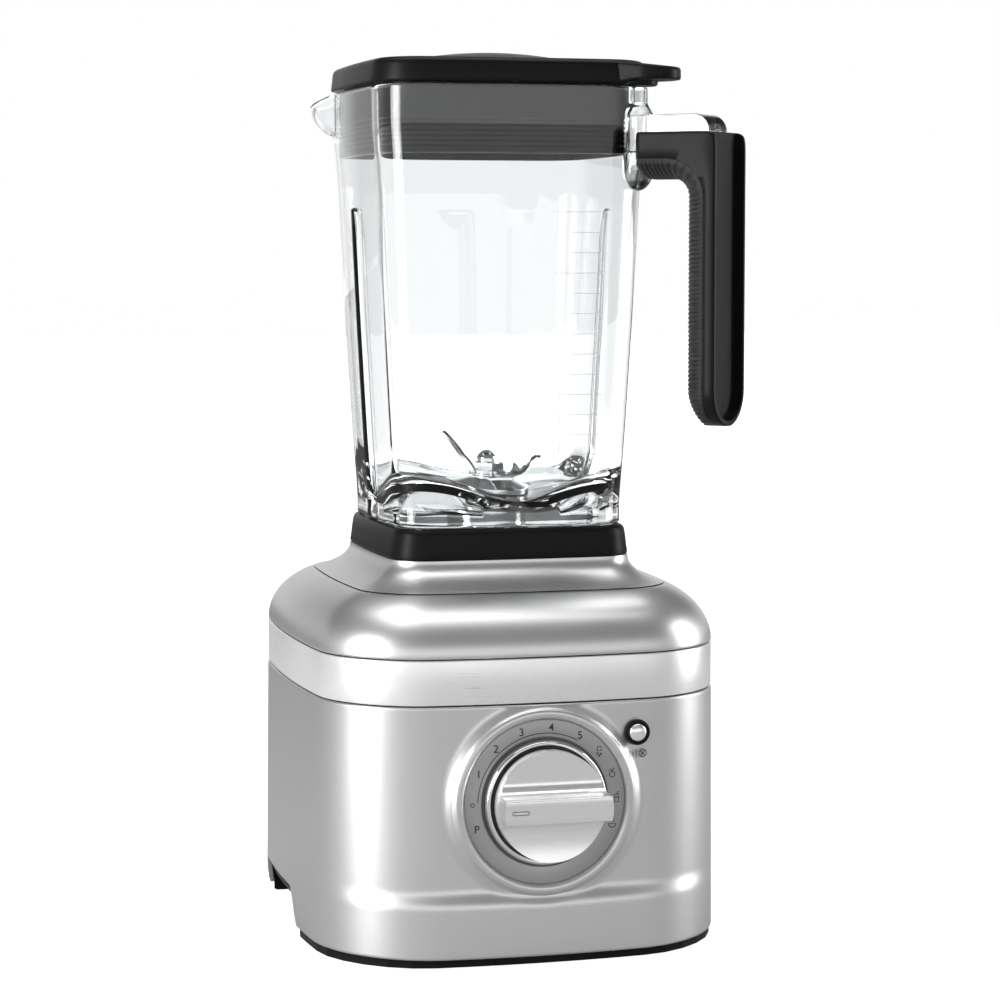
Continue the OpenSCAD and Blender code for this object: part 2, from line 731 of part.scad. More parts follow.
// Side view of the clear arm and the leg inside the grip
module core_profile() {
    bend = 7;
    arm_root = corner_reach(grip_top) - jar_wall + 0.5;
    polygon([
        [arm_root, grip_top - 22],
        [arm_root + 5, grip_top - 20],
        [arm_root + 9, grip_top - 13],
        [core_in, grip_top - 13],
        [core_in, core_low],
        [core_out, core_low],
        for (k = [0:6]) let (t = 90 * k / 6)
            [core_out - bend + bend * cos(t), core_top - bend + bend * sin(t)],
        [arm_root + 5, core_top],
        [arm_root, core_top - 2]]);
}
module core_bar(half) {
    rotate([90, 0, 0]) translate([0, 0, -half]) linear_extrude(2 * half) core_profile();
}
module handle_core() {
    color("#dfe6ea", 0.4) at_corner() core_bar(core_half);
}
// The grip's centre line runs out along the arm, round the bend and down the leg
bend_r = 8;
arm_seam = 12;
leg_seam = 6;
leg_x = handle_reach - grip_deep;
arm_z = grip_top - arm_deep;
end_z = grip_top - grip_len;
grip_n = 12;
bend_n = 5;
leg_n = 6;
end_n = 5;
// Each station: inner point, outward direction towards the outer face, depth, half width
function arm_station(x, half) = [x, arm_z, 0, 1, arm_deep, half, arm_seam];
function bend_station(t) =
    let (cx = leg_x - bend_r, cz = arm_z - bend_r, s = sin(t), c = cos(t),
        ox = t < 45 ? leg_x - bend_r + (handle_reach - leg_x + bend_r) * tan(t) : handle_reach,
        oz = t < 45 ? grip_top : arm_z - bend_r + (grip_top - arm_z + bend_r) / tan(t),
        len = norm([ox - cx, oz - cz]) - bend_r)
    [cx + bend_r * s, cz + bend_r * c, s, c, len, handle_w / 2,
        arm_seam + (leg_seam - arm_seam) * smooth(t / 90)];
function leg_station(z, half, cut) = [leg_x + cut, z, 1, 0, grip_deep - cut, half, leg_seam];
end_round = handle_w / 2;
function grip_path() = concat(
    [for (k = [0:3]) let (t = 90 * k / 3)
        arm_station(arm_start + 5 * (1 - cos(t)), handle_w / 2 - 5 * (1 - sin(t)))],
    [for (k = [0:bend_n]) bend_station(90 * k / bend_n)],
    [for (k = [1:leg_n]) leg_station(arm_z - bend_r
        - (arm_z - bend_r - end_z - end_round) * k / leg_n, handle_w / 2, 0)],
    [for (k = [1:end_n]) let (t = 80 * k / end_n)
        leg_station(end_z + end_round * (1 - sin(t)), end_round * cos(t),
            5 * smooth((k - 1) / (end_n - 1)))]);
// A point of a section, n in from the outer face and y across the handle
function placed(n, y, st) = [st[0] + st[2] * (st[4] - n), -y, st[1] + st[3] * (st[4] - n)];
function sleeve_ring(st) = let (half = st[5] * 0.96) concat(
    [placed(st[6], -half, st), placed(st[6], half, st)],
    [for (k = [grip_n - 1:-1:1]) let (t = 180 * k / grip_n - 90)
        placed(st[4] - (st[4] - st[6] - 3) * pow(abs(sin(t)), 3), half * sin(t), st)]);
function shell_ring(st) = let (edge = min(0.8, st[5] / 4)) [
    placed(0.8, -st[5], st), placed(0, -st[5] + edge, st),
    placed(0, 0, st),
    placed(0, st[5] - edge, st), placed(0.8, st[5], st),
    placed(st[6], st[5], st), placed(st[6], -st[5], st)];
module grip_shell() {
    color("#1d1d1e") at_corner() difference() {
        skin([for (st = grip_path()) shell_ring(st)]);
        core_bar(core_half);
        translate([handle_reach - 3, 0, 0]) channel();
    }
}
// Long rounded channel down the outer face, open at the top
module channel() {
    half = handle_w / 2 - 2.5;
    low = end_z + 2.5 + half;
    translate([0, 0, low]) {
        rotate([0, 90, 0]) cylinder(r = half, h = 10);
        translate([0, -half, 0]) cube([10, 2 * half, grip_len]);
    }
}
module grip_sleeve() {
    color("#29292a") at_corner() difference() {
        skin([for (st = grip_path()) sleeve_ring(st)]);
        core_bar(core_half);
        screw_holes();
    }
}
screw_levels = [grip_top - 45, grip_top - 95];
module screw_holes() {
    for (z = screw_levels) translate([leg_x - 2, 0, z]) rotate([0, 90, 0]) {
        cylinder(r = 3, h = 5);
    }
}
module grip_screws() {
    color("#8d8f92") at_corner() for (z = screw_levels) translate([leg_x + 0.6, 0, z])
        rotate([0, 90, 0]) cylinder(r = 3, h = 2.4);
}

// ---- Collar and drive under the jar ----
collar_cut = seat_h + 2;
module jar_collar() {
    color("#1b1b1c") difference() {
        skin([
            raised(ring(neck_a - 1, neck_b - 1, neck_corner - 1, neck_bow, 0), neck_z),
            raised(ring(neck_a, neck_b, neck_corner, neck_bow, 0), neck_z + 1),
            raised(ring(neck_a - 1.7, neck_b - 0.6, neck_corner - 2, neck_bow, 0), jar_z - 1.5),
            raised(ring(neck_a - 3, neck_b - 2, neck_corner - 2, neck_bow, 0), jar_z)]);
        translate([0, 0, neck_z - 1]) linear_extrude(collar_cut + 1) seat_shape(loose_gap);
        translate([0, 0, neck_z]) cylinder(r = nut_r + 0.1, h = 40);
    }
}
nut_r = 25;
nut_h = 5;
housing_r = hole_r - 0.1;
flange_z = jar_z + floor_z + 1;
housing_top = flange_z + 6.2;
bush_r = 8;
module blade_housing() {
    color("#c3c5c7") difference() {
        union() {
            translate([0, 0, jar_z - nut_h + 1]) cylinder(r = housing_r, h = floor_z + nut_h);
            translate([0, 0, flange_z]) cylinder(r = hole_r + 3, h = 2.5);
            translate([0, 0, flange_z + 2.5]) cylinder(r1 = hole_r + 1, r2 = 11, h = 3.7);
        }
        translate([0, 0, jar_z - 20]) cylinder(r = bush_r, h = 60);
    }
}
module housing_nut() {
    color("#37393c") translate([0, 0, jar_z - nut_h]) difference() {
        cylinder(r = nut_r, h = nut_h);
        translate([0, 0, -1]) cylinder(r = housing_r, h = nut_h + 2);
    }
}
module housing_gasket() {
    color("#d8d8d8") translate([0, 0, jar_z + floor_z]) tube(hole_r + 2.6, housing_r, 1);
}
module blade_bushes() {
    color("#b08d4a") for (z = [jar_z - nut_h + 1, housing_top - 7])
        translate([0, 0, z]) tube(bush_r, shaft_r + run_gap, 7);
}
blade_z = housing_top + 0.3;
nut_z = blade_z + 2 * blade_t + 1.6;
module blade_shaft() {
    color("#c9cbcd") translate([0, 0, cup_z + 6]) cylinder(r = shaft_r, h = nut_z + 4 - cup_z - 6);
}
cup_z = neck_z + 0.4;
cup_top = jar_z - nut_h - 0.5;
module driven_coupler() {
    color("#2c2d30") difference() {
        translate([0, 0, cup_z]) cylinder(r = coupler_r + 4, h = cup_top - cup_z);
        translate([0, 0, cup_z - 1]) linear_extrude(lug_z + lug_h + 0.6 - cup_z + 1)
            star(loose_gap);
        translate([0, 0, cup_z + 6]) cylinder(r = shaft_r, h = 20);
    }
}
// A bent strip: side outline extruded across, trimmed to a plan outline
module strip(side, plan) {
    intersection() {
        rotate([90, 0, 0]) translate([0, 0, -30]) linear_extrude(60) polygon(side);
        translate([0, 0, -40]) linear_extrude(90) polygon(plan);
    }
}
module hub() {
    difference() {
        cylinder(r = 10, h = blade_t);
        translate([0, 0, -1]) cylinder(r = shaft_r, h = 4);
    }
}
module upper_blade() {
    tip = fork_reach;
    color("#d9dbdd") translate([0, 0, blade_z + blade_t]) rotate(-14) {
        hub();
        strip([[7, 0], [10, 0], [tip, 9], [tip, 9 + blade_t], [9, blade_t], [7, blade_t]],
            [[6, -5.5], [12, -7], [tip, -5.5], [tip - 9, -0.6], [tip - 12, 0.4],
                [tip - 10, 2.4], [tip - 5, 6.5], [12, 7], [6, 5.5]]);
        strip([[-7, 0], [-7, blade_t], [-9.6, blade_t], [-15, 8], [-18.7, tall_tine + blade_t],
                [-20.4, tall_tine + blade_t], [-16.8, 7.4], [-10.4, 0]],
            [[-6, -5], [-6, 5], [-15, 6], [-21, 2.4], [-21, -0.6], [-15, -4.5]]);
    }
}
module lower_blade() {
    color("#d0d2d4") translate([0, 0, blade_z]) rotate(78) {
        hub();
        strip([[7, 0], [7, blade_t], [12, blade_t], [21, -0.6], [27, 3], [27, 1.4], [21, -2.4],
                [12, 0]],
            [[6, -5.5], [20, -6], [28, -2], [24, 0.5], [22, 5], [6, 5.5]]);
        strip([[-7, 0], [-7, blade_t], [-13, blade_t], [-26, 6], [-26, 4.4], [-13, 0]],
            [[-6, 5.5], [-20, 6], [-27, 2], [-22, -1], [-20, -5], [-6, -5.5]]);
    }
}
module blade_washer() {
    color("#cfd1d3") translate([0, 0, nut_z - 1.6]) tube(8.15, shaft_r, 1.6);
}
module acorn_nut() {
    color("#d6d8da") translate([0, 0, nut_z]) difference() {
        union() {
            cylinder(r = 7.7, h = 5.4, $fn = 6);
            translate([0, 0, 5.4]) rotate_extrude() intersection() {
                translate([0, 1.4]) circle(r = 5.3);
                square([6, 8]);
            }
        }
        translate([0, 0, -1]) cylinder(r = shaft_r, h = 5);
    }
}

// ---- Lid ----
lid_z = rim_z + 1.2;
lid_top = lid_z + lid_h;
plug_gap = 0.8;
plug_low = lid_z - plug_deep;
plug_half = jar_half(plug_low) - jar_wall - plug_gap;
plug_corner = jar_corner(plug_low) - jar_wall - plug_gap;
lid_half = jar_rim + 0.4;
function lid_ring(inset, z) = raised(ring(lid_half - inset, lid_half - inset, 21 - inset,
    neck_bow, 0), z);
function plug_ring(inset) = ring(plug_half - inset, plug_half - inset, plug_corner - inset,
    neck_bow, 0);
module lid() {
    color("#1e1e1f") difference() {
        union() {
            skin([lid_ring(0.6, lid_z), lid_ring(0, lid_z + 0.8), lid_ring(0.6, lid_top - 2.6),
                lid_ring(1.3, lid_top - 1), lid_ring(2.8, lid_top - 0.2), lid_ring(4.5, lid_top)]);
            translate([0, 0, plug_low]) linear_extrude(plug_deep + 1) polygon(plug_ring(0));
            at_corner() tab();
        }
        translate([0, 0, plug_low - 1]) linear_extrude(plug_deep + 1 - 3)
            polygon(plug_ring(3));
        translate([0, 0, lid_z - 10]) cylinder(r = cap_hole_r, h = 40);
        seal_grooves(0.8);
    }
}
// The pull tab slopes down a little over the handle and ends in a half round
tab_end = 85 + tab_reach;
module tab() {
    intersection() {
        translate([0, 0, lid_z]) linear_extrude(lid_h) union() {
            translate([60, -13]) square([tab_end - 13 - 60, 26]);
            translate([tab_end - 13, 0]) circle(r = 13);
        }
        rotate([90, 0, 0]) translate([0, 0, -30]) linear_extrude(60) polygon([
            [60, lid_z], [78, lid_z], [84, lid_z + 1.4], [tab_end + 1, lid_z + 1.4],
            [tab_end + 1, lid_top - 4.4], [tab_end - 2, lid_top - 3.6],
            [80, lid_top - 1.4], [60, lid_top - 0.4]]);
    }
}
seal_levels = [plug_low + 4, plug_low + 9, plug_low + 14];
module seal_grooves(deep) {
    for (z = seal_levels) translate([0, 0, z]) linear_extrude(2.4) difference() {
        polygon(plug_ring(-1));
        polygon(plug_ring(deep));
    }
}
module lid_seal() {
    color("#232324") for (z = seal_levels) translate([0, 0, z]) linear_extrude(2.4)
        difference() {
            polygon(plug_ring(-0.4));
            polygon(plug_ring(0.8));
        }
}
cap_r = cap_hole_r + 4.5;
cap_plug_r = cap_hole_r - 0.7;
cap_deep = 22;
seal_h = 2.4;
seal_low = lid_top - 16;
module centre_cap() {
    dome_r = (pow(cap_r - 1, 2) + pow(cap_rise - 1.6, 2)) / (2 * (cap_rise - 1.6));
    dome_half = asin((cap_r - 1) / dome_r);
    cap_low = lid_top - cap_deep;
    color("#1f1f20") rotate_extrude($fn = 96) polygon([
        [0, lid_top - 1],
        [cap_plug_r - 2.4, lid_top - 3],
        [cap_plug_r - 2.4, cap_low],
        [cap_plug_r, cap_low],
        [cap_plug_r, seal_low],
        [cap_plug_r - 1, seal_low],
        [cap_plug_r - 1, seal_low + seal_h],
        [cap_plug_r, seal_low + seal_h],
        [cap_plug_r, lid_top + 0.05],
        [cap_r, lid_top + 0.05],
        [cap_r, lid_top + 1.6],
        for (k = [8:-1:0]) let (t = dome_half * k / 8)
            [dome_r * sin(t), lid_top + cap_rise - dome_r + dome_r * cos(t)]]);
}
module cap_seal() {
    color("#2a2a2b") translate([0, 0, seal_low])
        tube(cap_hole_r - 0.35, cap_plug_r - 1, seal_h);
}

body_shell();
trim_band();
band_gaskets();
dome_shell();
neck_shell();
jar_seat();
bottom_plate();
hand_wells();
feet();
plate_screws();
motor_stator();
field_coils();
upper_bracket();
lower_bracket();
upper_bearing();
lower_bearing();
brush_holders();
carbon_brushes();
brush_springs();
control_board();
board_parts();
dial_encoder();
dial_plate();
dial_rim();
button_bezel();
button_spring();
button_switch();
cord_inlet();
dial_shaft();
knob_skirt();
knob();
knob_marker();
start_button();
motor_shaft();
rotor_core();
rotor_windings();
commutator();
cooling_fan();
drive_coupler();
jar();
handle_core();
jar_collar();
grip_shell();
grip_sleeve();
grip_screws();
blade_housing();
housing_nut();
housing_gasket();
blade_bushes();
lower_blade();
upper_blade();
blade_washer();
acorn_nut();
blade_shaft();
driven_coupler();
lid();
lid_seal();
centre_cap();
cap_seal();
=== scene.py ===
import json
import math
import bpy
import numpy as np
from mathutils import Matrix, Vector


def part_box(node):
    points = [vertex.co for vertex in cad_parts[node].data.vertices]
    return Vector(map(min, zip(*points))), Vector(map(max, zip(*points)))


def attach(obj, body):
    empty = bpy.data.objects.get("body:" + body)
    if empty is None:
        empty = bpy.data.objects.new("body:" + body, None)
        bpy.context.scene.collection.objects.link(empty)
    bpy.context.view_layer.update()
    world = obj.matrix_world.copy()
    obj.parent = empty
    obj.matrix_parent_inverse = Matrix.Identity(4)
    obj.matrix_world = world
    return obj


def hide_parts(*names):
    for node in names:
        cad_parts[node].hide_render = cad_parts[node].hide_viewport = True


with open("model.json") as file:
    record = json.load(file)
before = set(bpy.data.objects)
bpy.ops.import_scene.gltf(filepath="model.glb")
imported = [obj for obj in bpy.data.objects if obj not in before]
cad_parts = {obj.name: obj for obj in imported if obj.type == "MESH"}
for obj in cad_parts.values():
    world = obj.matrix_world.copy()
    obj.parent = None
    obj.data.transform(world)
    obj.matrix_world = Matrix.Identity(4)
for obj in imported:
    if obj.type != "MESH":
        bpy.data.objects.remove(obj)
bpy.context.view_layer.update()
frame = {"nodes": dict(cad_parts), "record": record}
mm = 0.001
print("frame loaded:", len(frame["nodes"]), "nodes")


def span(node):
    low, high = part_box(node)
    return np.array(low), np.array(high)


# Levels and widths that the new surfaces share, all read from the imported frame
bodyLow, bodyHigh = span("body_shell")
bandLow, bandHigh = span("trim_band")
domeLow, domeHigh = span("dome_shell")
neckLow, neckHigh = span("neck_shell")
collarLow, collarHigh = span("jar_collar")
jarLow, jarHigh = span("jar")
lidLow, lidHigh = span("lid")
capLow, capHigh = span("centre_cap")
gripLow, gripHigh = span("grip_shell")
plateLow, plateHigh = span("dial_plate")
knobLow, knobHigh = span("knob")
buttonLow, buttonHigh = span("start_button")


# ---------- mesh helpers

def gridQuads(rows, cols, loopRows=False, start=0):
    # cell corners of a grid whose columns close on themselves, outside seen counter-clockwise
    i = np.arange(rows if loopRows else rows - 1)[:, None]
    j = np.arange(cols)[None, :]
    iNext, jNext = (i + 1) % rows, (j + 1) % cols
    quads = np.stack([i * cols + j, i * cols + jNext, iNext * cols + jNext, iNext * cols + j], axis=-1)
    return (quads + start).reshape(-1, 4)


def makeObject(name, points, faces, sharpAngle=40):
    mesh = bpy.data.meshes.new(name)
    mesh.from_pydata(np.asarray(points).reshape(-1, 3).tolist(), [], faces)
    mesh.validate()
    mesh.shade_smooth()
    mesh.set_sharp_from_angle(angle=math.radians(sharpAngle))
    piece = bpy.data.objects.new(name, mesh)
    bpy.context.scene.collection.objects.link(piece)
    return piece


def ringSkin(name, rings, loop=False, capped=False, sharpAngle=40):
    # rings is rows x columns x 3; capped closes both ends with a fan about the ring's middle
    rings = np.asarray(rings, float)
    rows, cols = rings.shape[:2]
    points = rings.reshape(-1, 3)
    faces = gridQuads(rows, cols, loop).tolist()
    if capped:
        points = np.vstack([points, rings[0].mean(0), rings[-1].mean(0)])
        j = np.arange(cols)
        jNext = (j + 1) % cols
        low = np.stack([jNext, j, np.full(cols, rows * cols)], 1)
        top = (rows - 1) * cols
        high = np.stack([top + j, top + jNext, np.full(cols, rows * cols + 1)], 1)
        faces += low.tolist() + high.tolist()
    return makeObject(name, points, faces, sharpAngle)


def roundedRings(a, b, r, bow, shift=0.0, nCorner=20, nSide=28, soften=6):
    # rounded rectangle of half sizes a, b and corner radius r, each side bulging by bow as
    # x (1 - bow/a (y/b)^2), then moved back by shift; soften blurs the change of curvature
    a, b, r, bow, shift = [v[:, None] for v in np.broadcast_arrays(
        *[np.atleast_1d(np.asarray(v, float)) for v in (a, b, r, bow, shift)])]
    t = np.radians(np.linspace(0, 90, nCorner, endpoint=False))
    s = np.linspace(1, -1, nSide, endpoint=False)
    xs, ys = [], []
    for q in range(4):
        u, v = (a, b) if q % 2 == 0 else (b, a)
        x = np.concatenate([u - r + r * np.cos(t), (u - r) * s], axis=1)
        y = np.concatenate([v - r + r * np.sin(t), v + 0 * s], axis=1)
        for _ in range(q):
            x, y = -y, x
        xs.append(x)
        ys.append(y)
    x, y = np.concatenate(xs, axis=1), np.concatenate(ys, axis=1)
    x, y = x * (1 - bow / a * (y / b) ** 2), y * (1 - bow / b * (x / a) ** 2)
    for _ in range(soften):
        x = 0.5 * x + 0.25 * (np.roll(x, 1, axis=1) + np.roll(x, -1, axis=1))
        y = 0.5 * y + 0.25 * (np.roll(y, 1, axis=1) + np.roll(y, -1, axis=1))
    return np.stack([x, y + shift], axis=-1)


def atHeight(flat, z):
    # lifts flat rings (rows x columns x 2) to the heights z (one per row, or one per point)
    z = np.asarray(z, float)
    z = z[:, None] if z.ndim == 1 else z
    return np.concatenate([flat, np.broadcast_to(z, flat.shape[:2])[..., None]], axis=-1)


def smoothStep(t):
    t = np.clip(t, 0, 1)
    return t * t * (3 - 2 * t)


def turnedShape(name, profile, place=lambda p: p, steps=128, sharpAngle=35):
    # a profile of (radius, height) turned round the height axis; ends at radius 0 become poles
    profile = np.asarray(profile, float)
    angle = np.linspace(0, 2 * math.pi, steps, endpoint=False)
    lowPole, highPole = profile[0, 0] < 1e-9, profile[-1, 0] < 1e-9
    body = profile[1 if lowPole else 0:len(profile) - (1 if highPole else 0)]
    rings = np.stack([body[:, :1] * np.cos(angle), body[:, :1] * np.sin(angle),
                      np.repeat(body[:, 1:], steps, axis=1)], axis=-1)
    rows = len(body)
    points = rings.reshape(-1, 3)
    faces = gridQuads(rows, steps, loopRows=not lowPole and not highPole).tolist()
    j = np.arange(steps)
    jNext = (j + 1) % steps
    if lowPole:
        faces += np.stack([jNext, j, np.full(steps, len(points))], 1).tolist()
        points = np.vstack([points, [0, 0, profile[0, 1]]])
    if highPole:
        top = (rows - 1) * steps
        faces += np.stack([top + j, top + jNext, np.full(steps, len(points))], 1).tolist()
        points = np.vstack([points, [0, 0, profile[-1, 1]]])
    return makeObject(name, place(points), faces, sharpAngle)


def arcPoints(centre, radius, start, end, count=6):
    # points of an arc in a profile plane, angles in degrees
    t = np.radians(np.linspace(start, end, count))
    return [[centre[0] + radius * math.cos(k), centre[1] + radius * math.sin(k)] for k in t]


def bevelled(piece, width, segments=3, angle=35):
    bevel = piece.modifiers.new("edges", "BEVEL")
    bevel.width = width
    bevel.segments = segments
    bevel.limit_method = "ANGLE"
    bevel.angle_limit = math.radians(angle)
    bevel.harden_normals = True
    return piece


# ---------- shader groups

def newGroup(name, inputs, outputs):
    group = bpy.data.node_groups.new(name, "ShaderNodeTree")
    for label, kind, value in inputs:
        socket = group.interface.new_socket(label, in_out="INPUT", socket_type=kind)
        socket.default_value = value
    for label, kind in outputs:
        group.interface.new_socket(label, in_out="OUTPUT", socket_type=kind)
    return group, group.nodes.new("NodeGroupInput"), group.nodes.new("NodeGroupOutput")


def addNode(tree, kind, **values):
    node = tree.nodes.new(kind)
    for key, value in values.items():
        setattr(node, key, value)
    return node


def mathNode(tree, operation, first, second=None):
    node = addNode(tree, "ShaderNodeMath", operation=operation)
    for socket, value in zip(node.inputs, (first, second)):
        if value is None:
            continue
        if isinstance(value, (int, float)):
            socket.default_value = value
        else:
            tree.links.new(value, socket)
    return node.outputs[0]


def buildGrainGroup():
    # fine moulded or painted grain: two noises of different size shift the roughness, and the fine one gives the
    # height
    group, inputs, outputs = newGroup(
        "surfaceGrain",
        [("Size", "NodeSocketFloat", 900.0), ("Spread", "NodeSocketFloat", 0.06),
         ("Roughness", "NodeSocketFloat", 0.4), ("Stretch", "NodeSocketVector", (1.0, 1.0, 1.0))],
        [("Height", "NodeSocketFloat"), ("Roughness", "NodeSocketFloat")])
    coord = addNode(group, "ShaderNodeTexCoord")
    scaled = addNode(group, "ShaderNodeVectorMath", operation="MULTIPLY")
    group.links.new(coord.outputs["Object"], scaled.inputs[0])
    group.links.new(inputs.outputs["Stretch"], scaled.inputs[1])
    fine = addNode(group, "ShaderNodeTexNoise")
    fine.inputs["Detail"].default_value = 3
    group.links.new(scaled.outputs[0], fine.inputs["Vector"])
    group.links.new(inputs.outputs["Size"], fine.inputs["Scale"])
    broad = addNode(group, "ShaderNodeTexNoise")
    broad.inputs["Scale"].default_value = 22
    group.links.new(coord.outputs["Object"], broad.inputs["Vector"])
    centred = mathNode(group, "SUBTRACT", broad.outputs["Fac"], 0.5)
    shift = mathNode(group, "MULTIPLY", centred, inputs.outputs["Spread"])
    fineCentred = mathNode(group, "SUBTRACT", fine.outputs["Fac"], 0.5)
    fineShift = mathNode(group, "MULTIPLY", fineCentred, inputs.outputs["Spread"])
    both = mathNode(group, "ADD", shift, fineShift)
    group.links.new(mathNode(group, "ADD", both, inputs.outputs["Roughness"]),
                    outputs.inputs["Roughness"])
    group.links.new(fine.outputs["Fac"], outputs.inputs["Height"])
    return group


def buildDustGroup():
    # colour that varies a little over the surface: a slow cloud and fine specks
    group, inputs, outputs = newGroup(
        "toneVariation",
        [("Colour", "NodeSocketColor", (0.5, 0.5, 0.5, 1)), ("Amount", "NodeSocketFloat", 0.06),
         ("Speck Size", "NodeSocketFloat", 2500.0)],
        [("Colour", "NodeSocketColor")])
    coord = addNode(group, "ShaderNodeTexCoord")
    cloud = addNode(group, "ShaderNodeTexNoise")
    cloud.inputs["Scale"].default_value = 9
    cloud.inputs["Detail"].default_value = 4
    specks = addNode(group, "ShaderNodeTexNoise")
    group.links.new(inputs.outputs["Speck Size"], specks.inputs["Scale"])
    for noise in (cloud, specks):
        group.links.new(coord.outputs["Object"], noise.inputs["Vector"])
    mixed = mathNode(group, "ADD", mathNode(group, "MULTIPLY", cloud.outputs["Fac"], 0.45),
                     mathNode(group, "MULTIPLY", specks.outputs["Fac"], 0.55))
    around = mathNode(group, "MULTIPLY", mathNode(group, "SUBTRACT", mixed, 0.5), 2.0)
    gain = mathNode(group, "ADD", mathNode(group, "MULTIPLY", around, inputs.outputs["Amount"]), 1.0)
    scaled = addNode(group, "ShaderNodeVectorMath", operation="SCALE")
    group.links.new(inputs.outputs["Colour"], scaled.inputs[0])
    group.links.new(gain, scaled.inputs["Scale"])
    group.links.new(scaled.outputs[0], outputs.inputs["Colour"])
    return group


def buildWearGroup():
    # a mask on convex edges, read from pointiness, broken up by noise and scaled by the amount
    group, inputs, outputs = newGroup(
        "edgeWear",
        [("Amount", "NodeSocketFloat", 0.3), ("Breakup", "NodeSocketFloat", 260.0)],
        [("Mask", "NodeSocketFloat")])
    geometry = addNode(group, "ShaderNodeNewGeometry")
    edge = addNode(group, "ShaderNodeMapRange")
    edge.inputs["From Min"].default_value = 0.52
    edge.inputs["From Max"].default_value = 0.62
    group.links.new(geometry.outputs["Pointiness"], edge.inputs["Value"])
    coord = addNode(group, "ShaderNodeTexCoord")
    noise = addNode(group, "ShaderNodeTexNoise")
    group.links.new(coord.outputs["Object"], noise.inputs["Vector"])
    group.links.new(inputs.outputs["Breakup"], noise.inputs["Scale"])
    broken = mathNode(group, "MULTIPLY", edge.outputs["Result"], noise.outputs["Fac"])
    group.links.new(mathNode(group, "MULTIPLY", broken, inputs.outputs["Amount"]),
                    outputs.inputs["Mask"])
    return group


grainGroup = buildGrainGroup()
toneGroup = buildDustGroup()
wearGroup = buildWearGroup()


def finish(name, colour, metallic=0.0, roughness=0.4, spread=0.06, tone=0.05, grain=900.0,
           stretch=(1, 1, 1), bump=0.02, bumpDepth=0.0001, coat=0.0, coatRoughness=0.1,
           wear=0.0, wearColour=(0.8, 0.8, 0.8, 1), specular=0.5, sheen=0.0, anisotropic=0.0,
           specks=2500.0):
    # one opaque finish: tone variation into colour, grain into roughness and bump, worn edges
    material = bpy.data.materials.new(name)
    material.use_nodes = True
    tree = material.node_tree
    shader = tree.nodes["Principled BSDF"]
    shader.inputs["Metallic"].default_value = metallic
    shader.inputs["Coat Weight"].default_value = coat
    shader.inputs["Coat Roughness"].default_value = coatRoughness
    shader.inputs["Specular IOR Level"].default_value = specular
    shader.inputs["Sheen Weight"].default_value = sheen
    shader.inputs["Anisotropic"].default_value = anisotropic
    toneNode = addNode(tree, "ShaderNodeGroup", node_tree=toneGroup)
    toneNode.inputs["Colour"].default_value = (*colour, 1)
    toneNode.inputs["Amount"].default_value = tone
    toneNode.inputs["Speck Size"].default_value = specks
    base = toneNode.outputs["Colour"]
    if wear:
        worn = addNode(tree, "ShaderNodeGroup", node_tree=wearGroup)
        worn.inputs["Amount"].default_value = wear
        mix = addNode(tree, "ShaderNodeMix", data_type="RGBA")
        tree.links.new(worn.outputs["Mask"], mix.inputs["Factor"])
        tree.links.new(base, mix.inputs["A"])
        mix.inputs["B"].default_value = wearColour
        base = mix.outputs["Result"]
    tree.links.new(base, shader.inputs["Base Color"])
    grainNode = addNode(tree, "ShaderNodeGroup", node_tree=grainGroup)
    grainNode.inputs["Size"].default_value = grain
    grainNode.inputs["Spread"].default_value = spread
    grainNode.inputs["Roughness"].default_value = roughness
    grainNode.inputs["Stretch"].default_value = stretch
    tree.links.new(grainNode.outputs["Roughness"], shader.inputs["Roughness"])
    bumpNode = addNode(tree, "ShaderNodeBump")
    bumpNode.inputs["Strength"].default_value = bump
    bumpNode.inputs["Distance"].default_value = bumpDepth
    tree.links.new(grainNode.outputs["Height"], bumpNode.inputs["Height"])
    tree.links.new(bumpNode.outputs["Normal"], shader.inputs["Normal"])
    return material


def clearFinish(name, colour=(0.97, 0.985, 0.99), roughness=0.015, ior=1.49):
    # clear moulded plastic: plain transmission, with slight mould ripples in the normal
    material = bpy.data.materials.new(name)
    material.use_nodes = True
    tree = material.node_tree
    shader = tree.nodes["Principled BSDF"]
    shader.inputs["Base Color"].default_value = (*colour, 1)
    shader.inputs["Transmission Weight"].default_value = 1
    shader.inputs["Roughness"].default_value = roughness
    shader.inputs["IOR"].default_value = ior
    coord = addNode(tree, "ShaderNodeTexCoord")
    ripple = addNode(tree, "ShaderNodeTexNoise")
    ripple.inputs["Scale"].default_value = 30
    tree.links.new(coord.outputs["Object"], ripple.inputs["Vector"])
    bumpNode = addNode(tree, "ShaderNodeBump")
    bumpNode.inputs["Strength"].default_value = 0.08
    bumpNode.inputs["Distance"].default_value = 0.0004
    tree.links.new(ripple.outputs["Fac"], bumpNode.inputs["Height"])
    tree.links.new(bumpNode.outputs["Normal"], shader.inputs["Normal"])
    return material


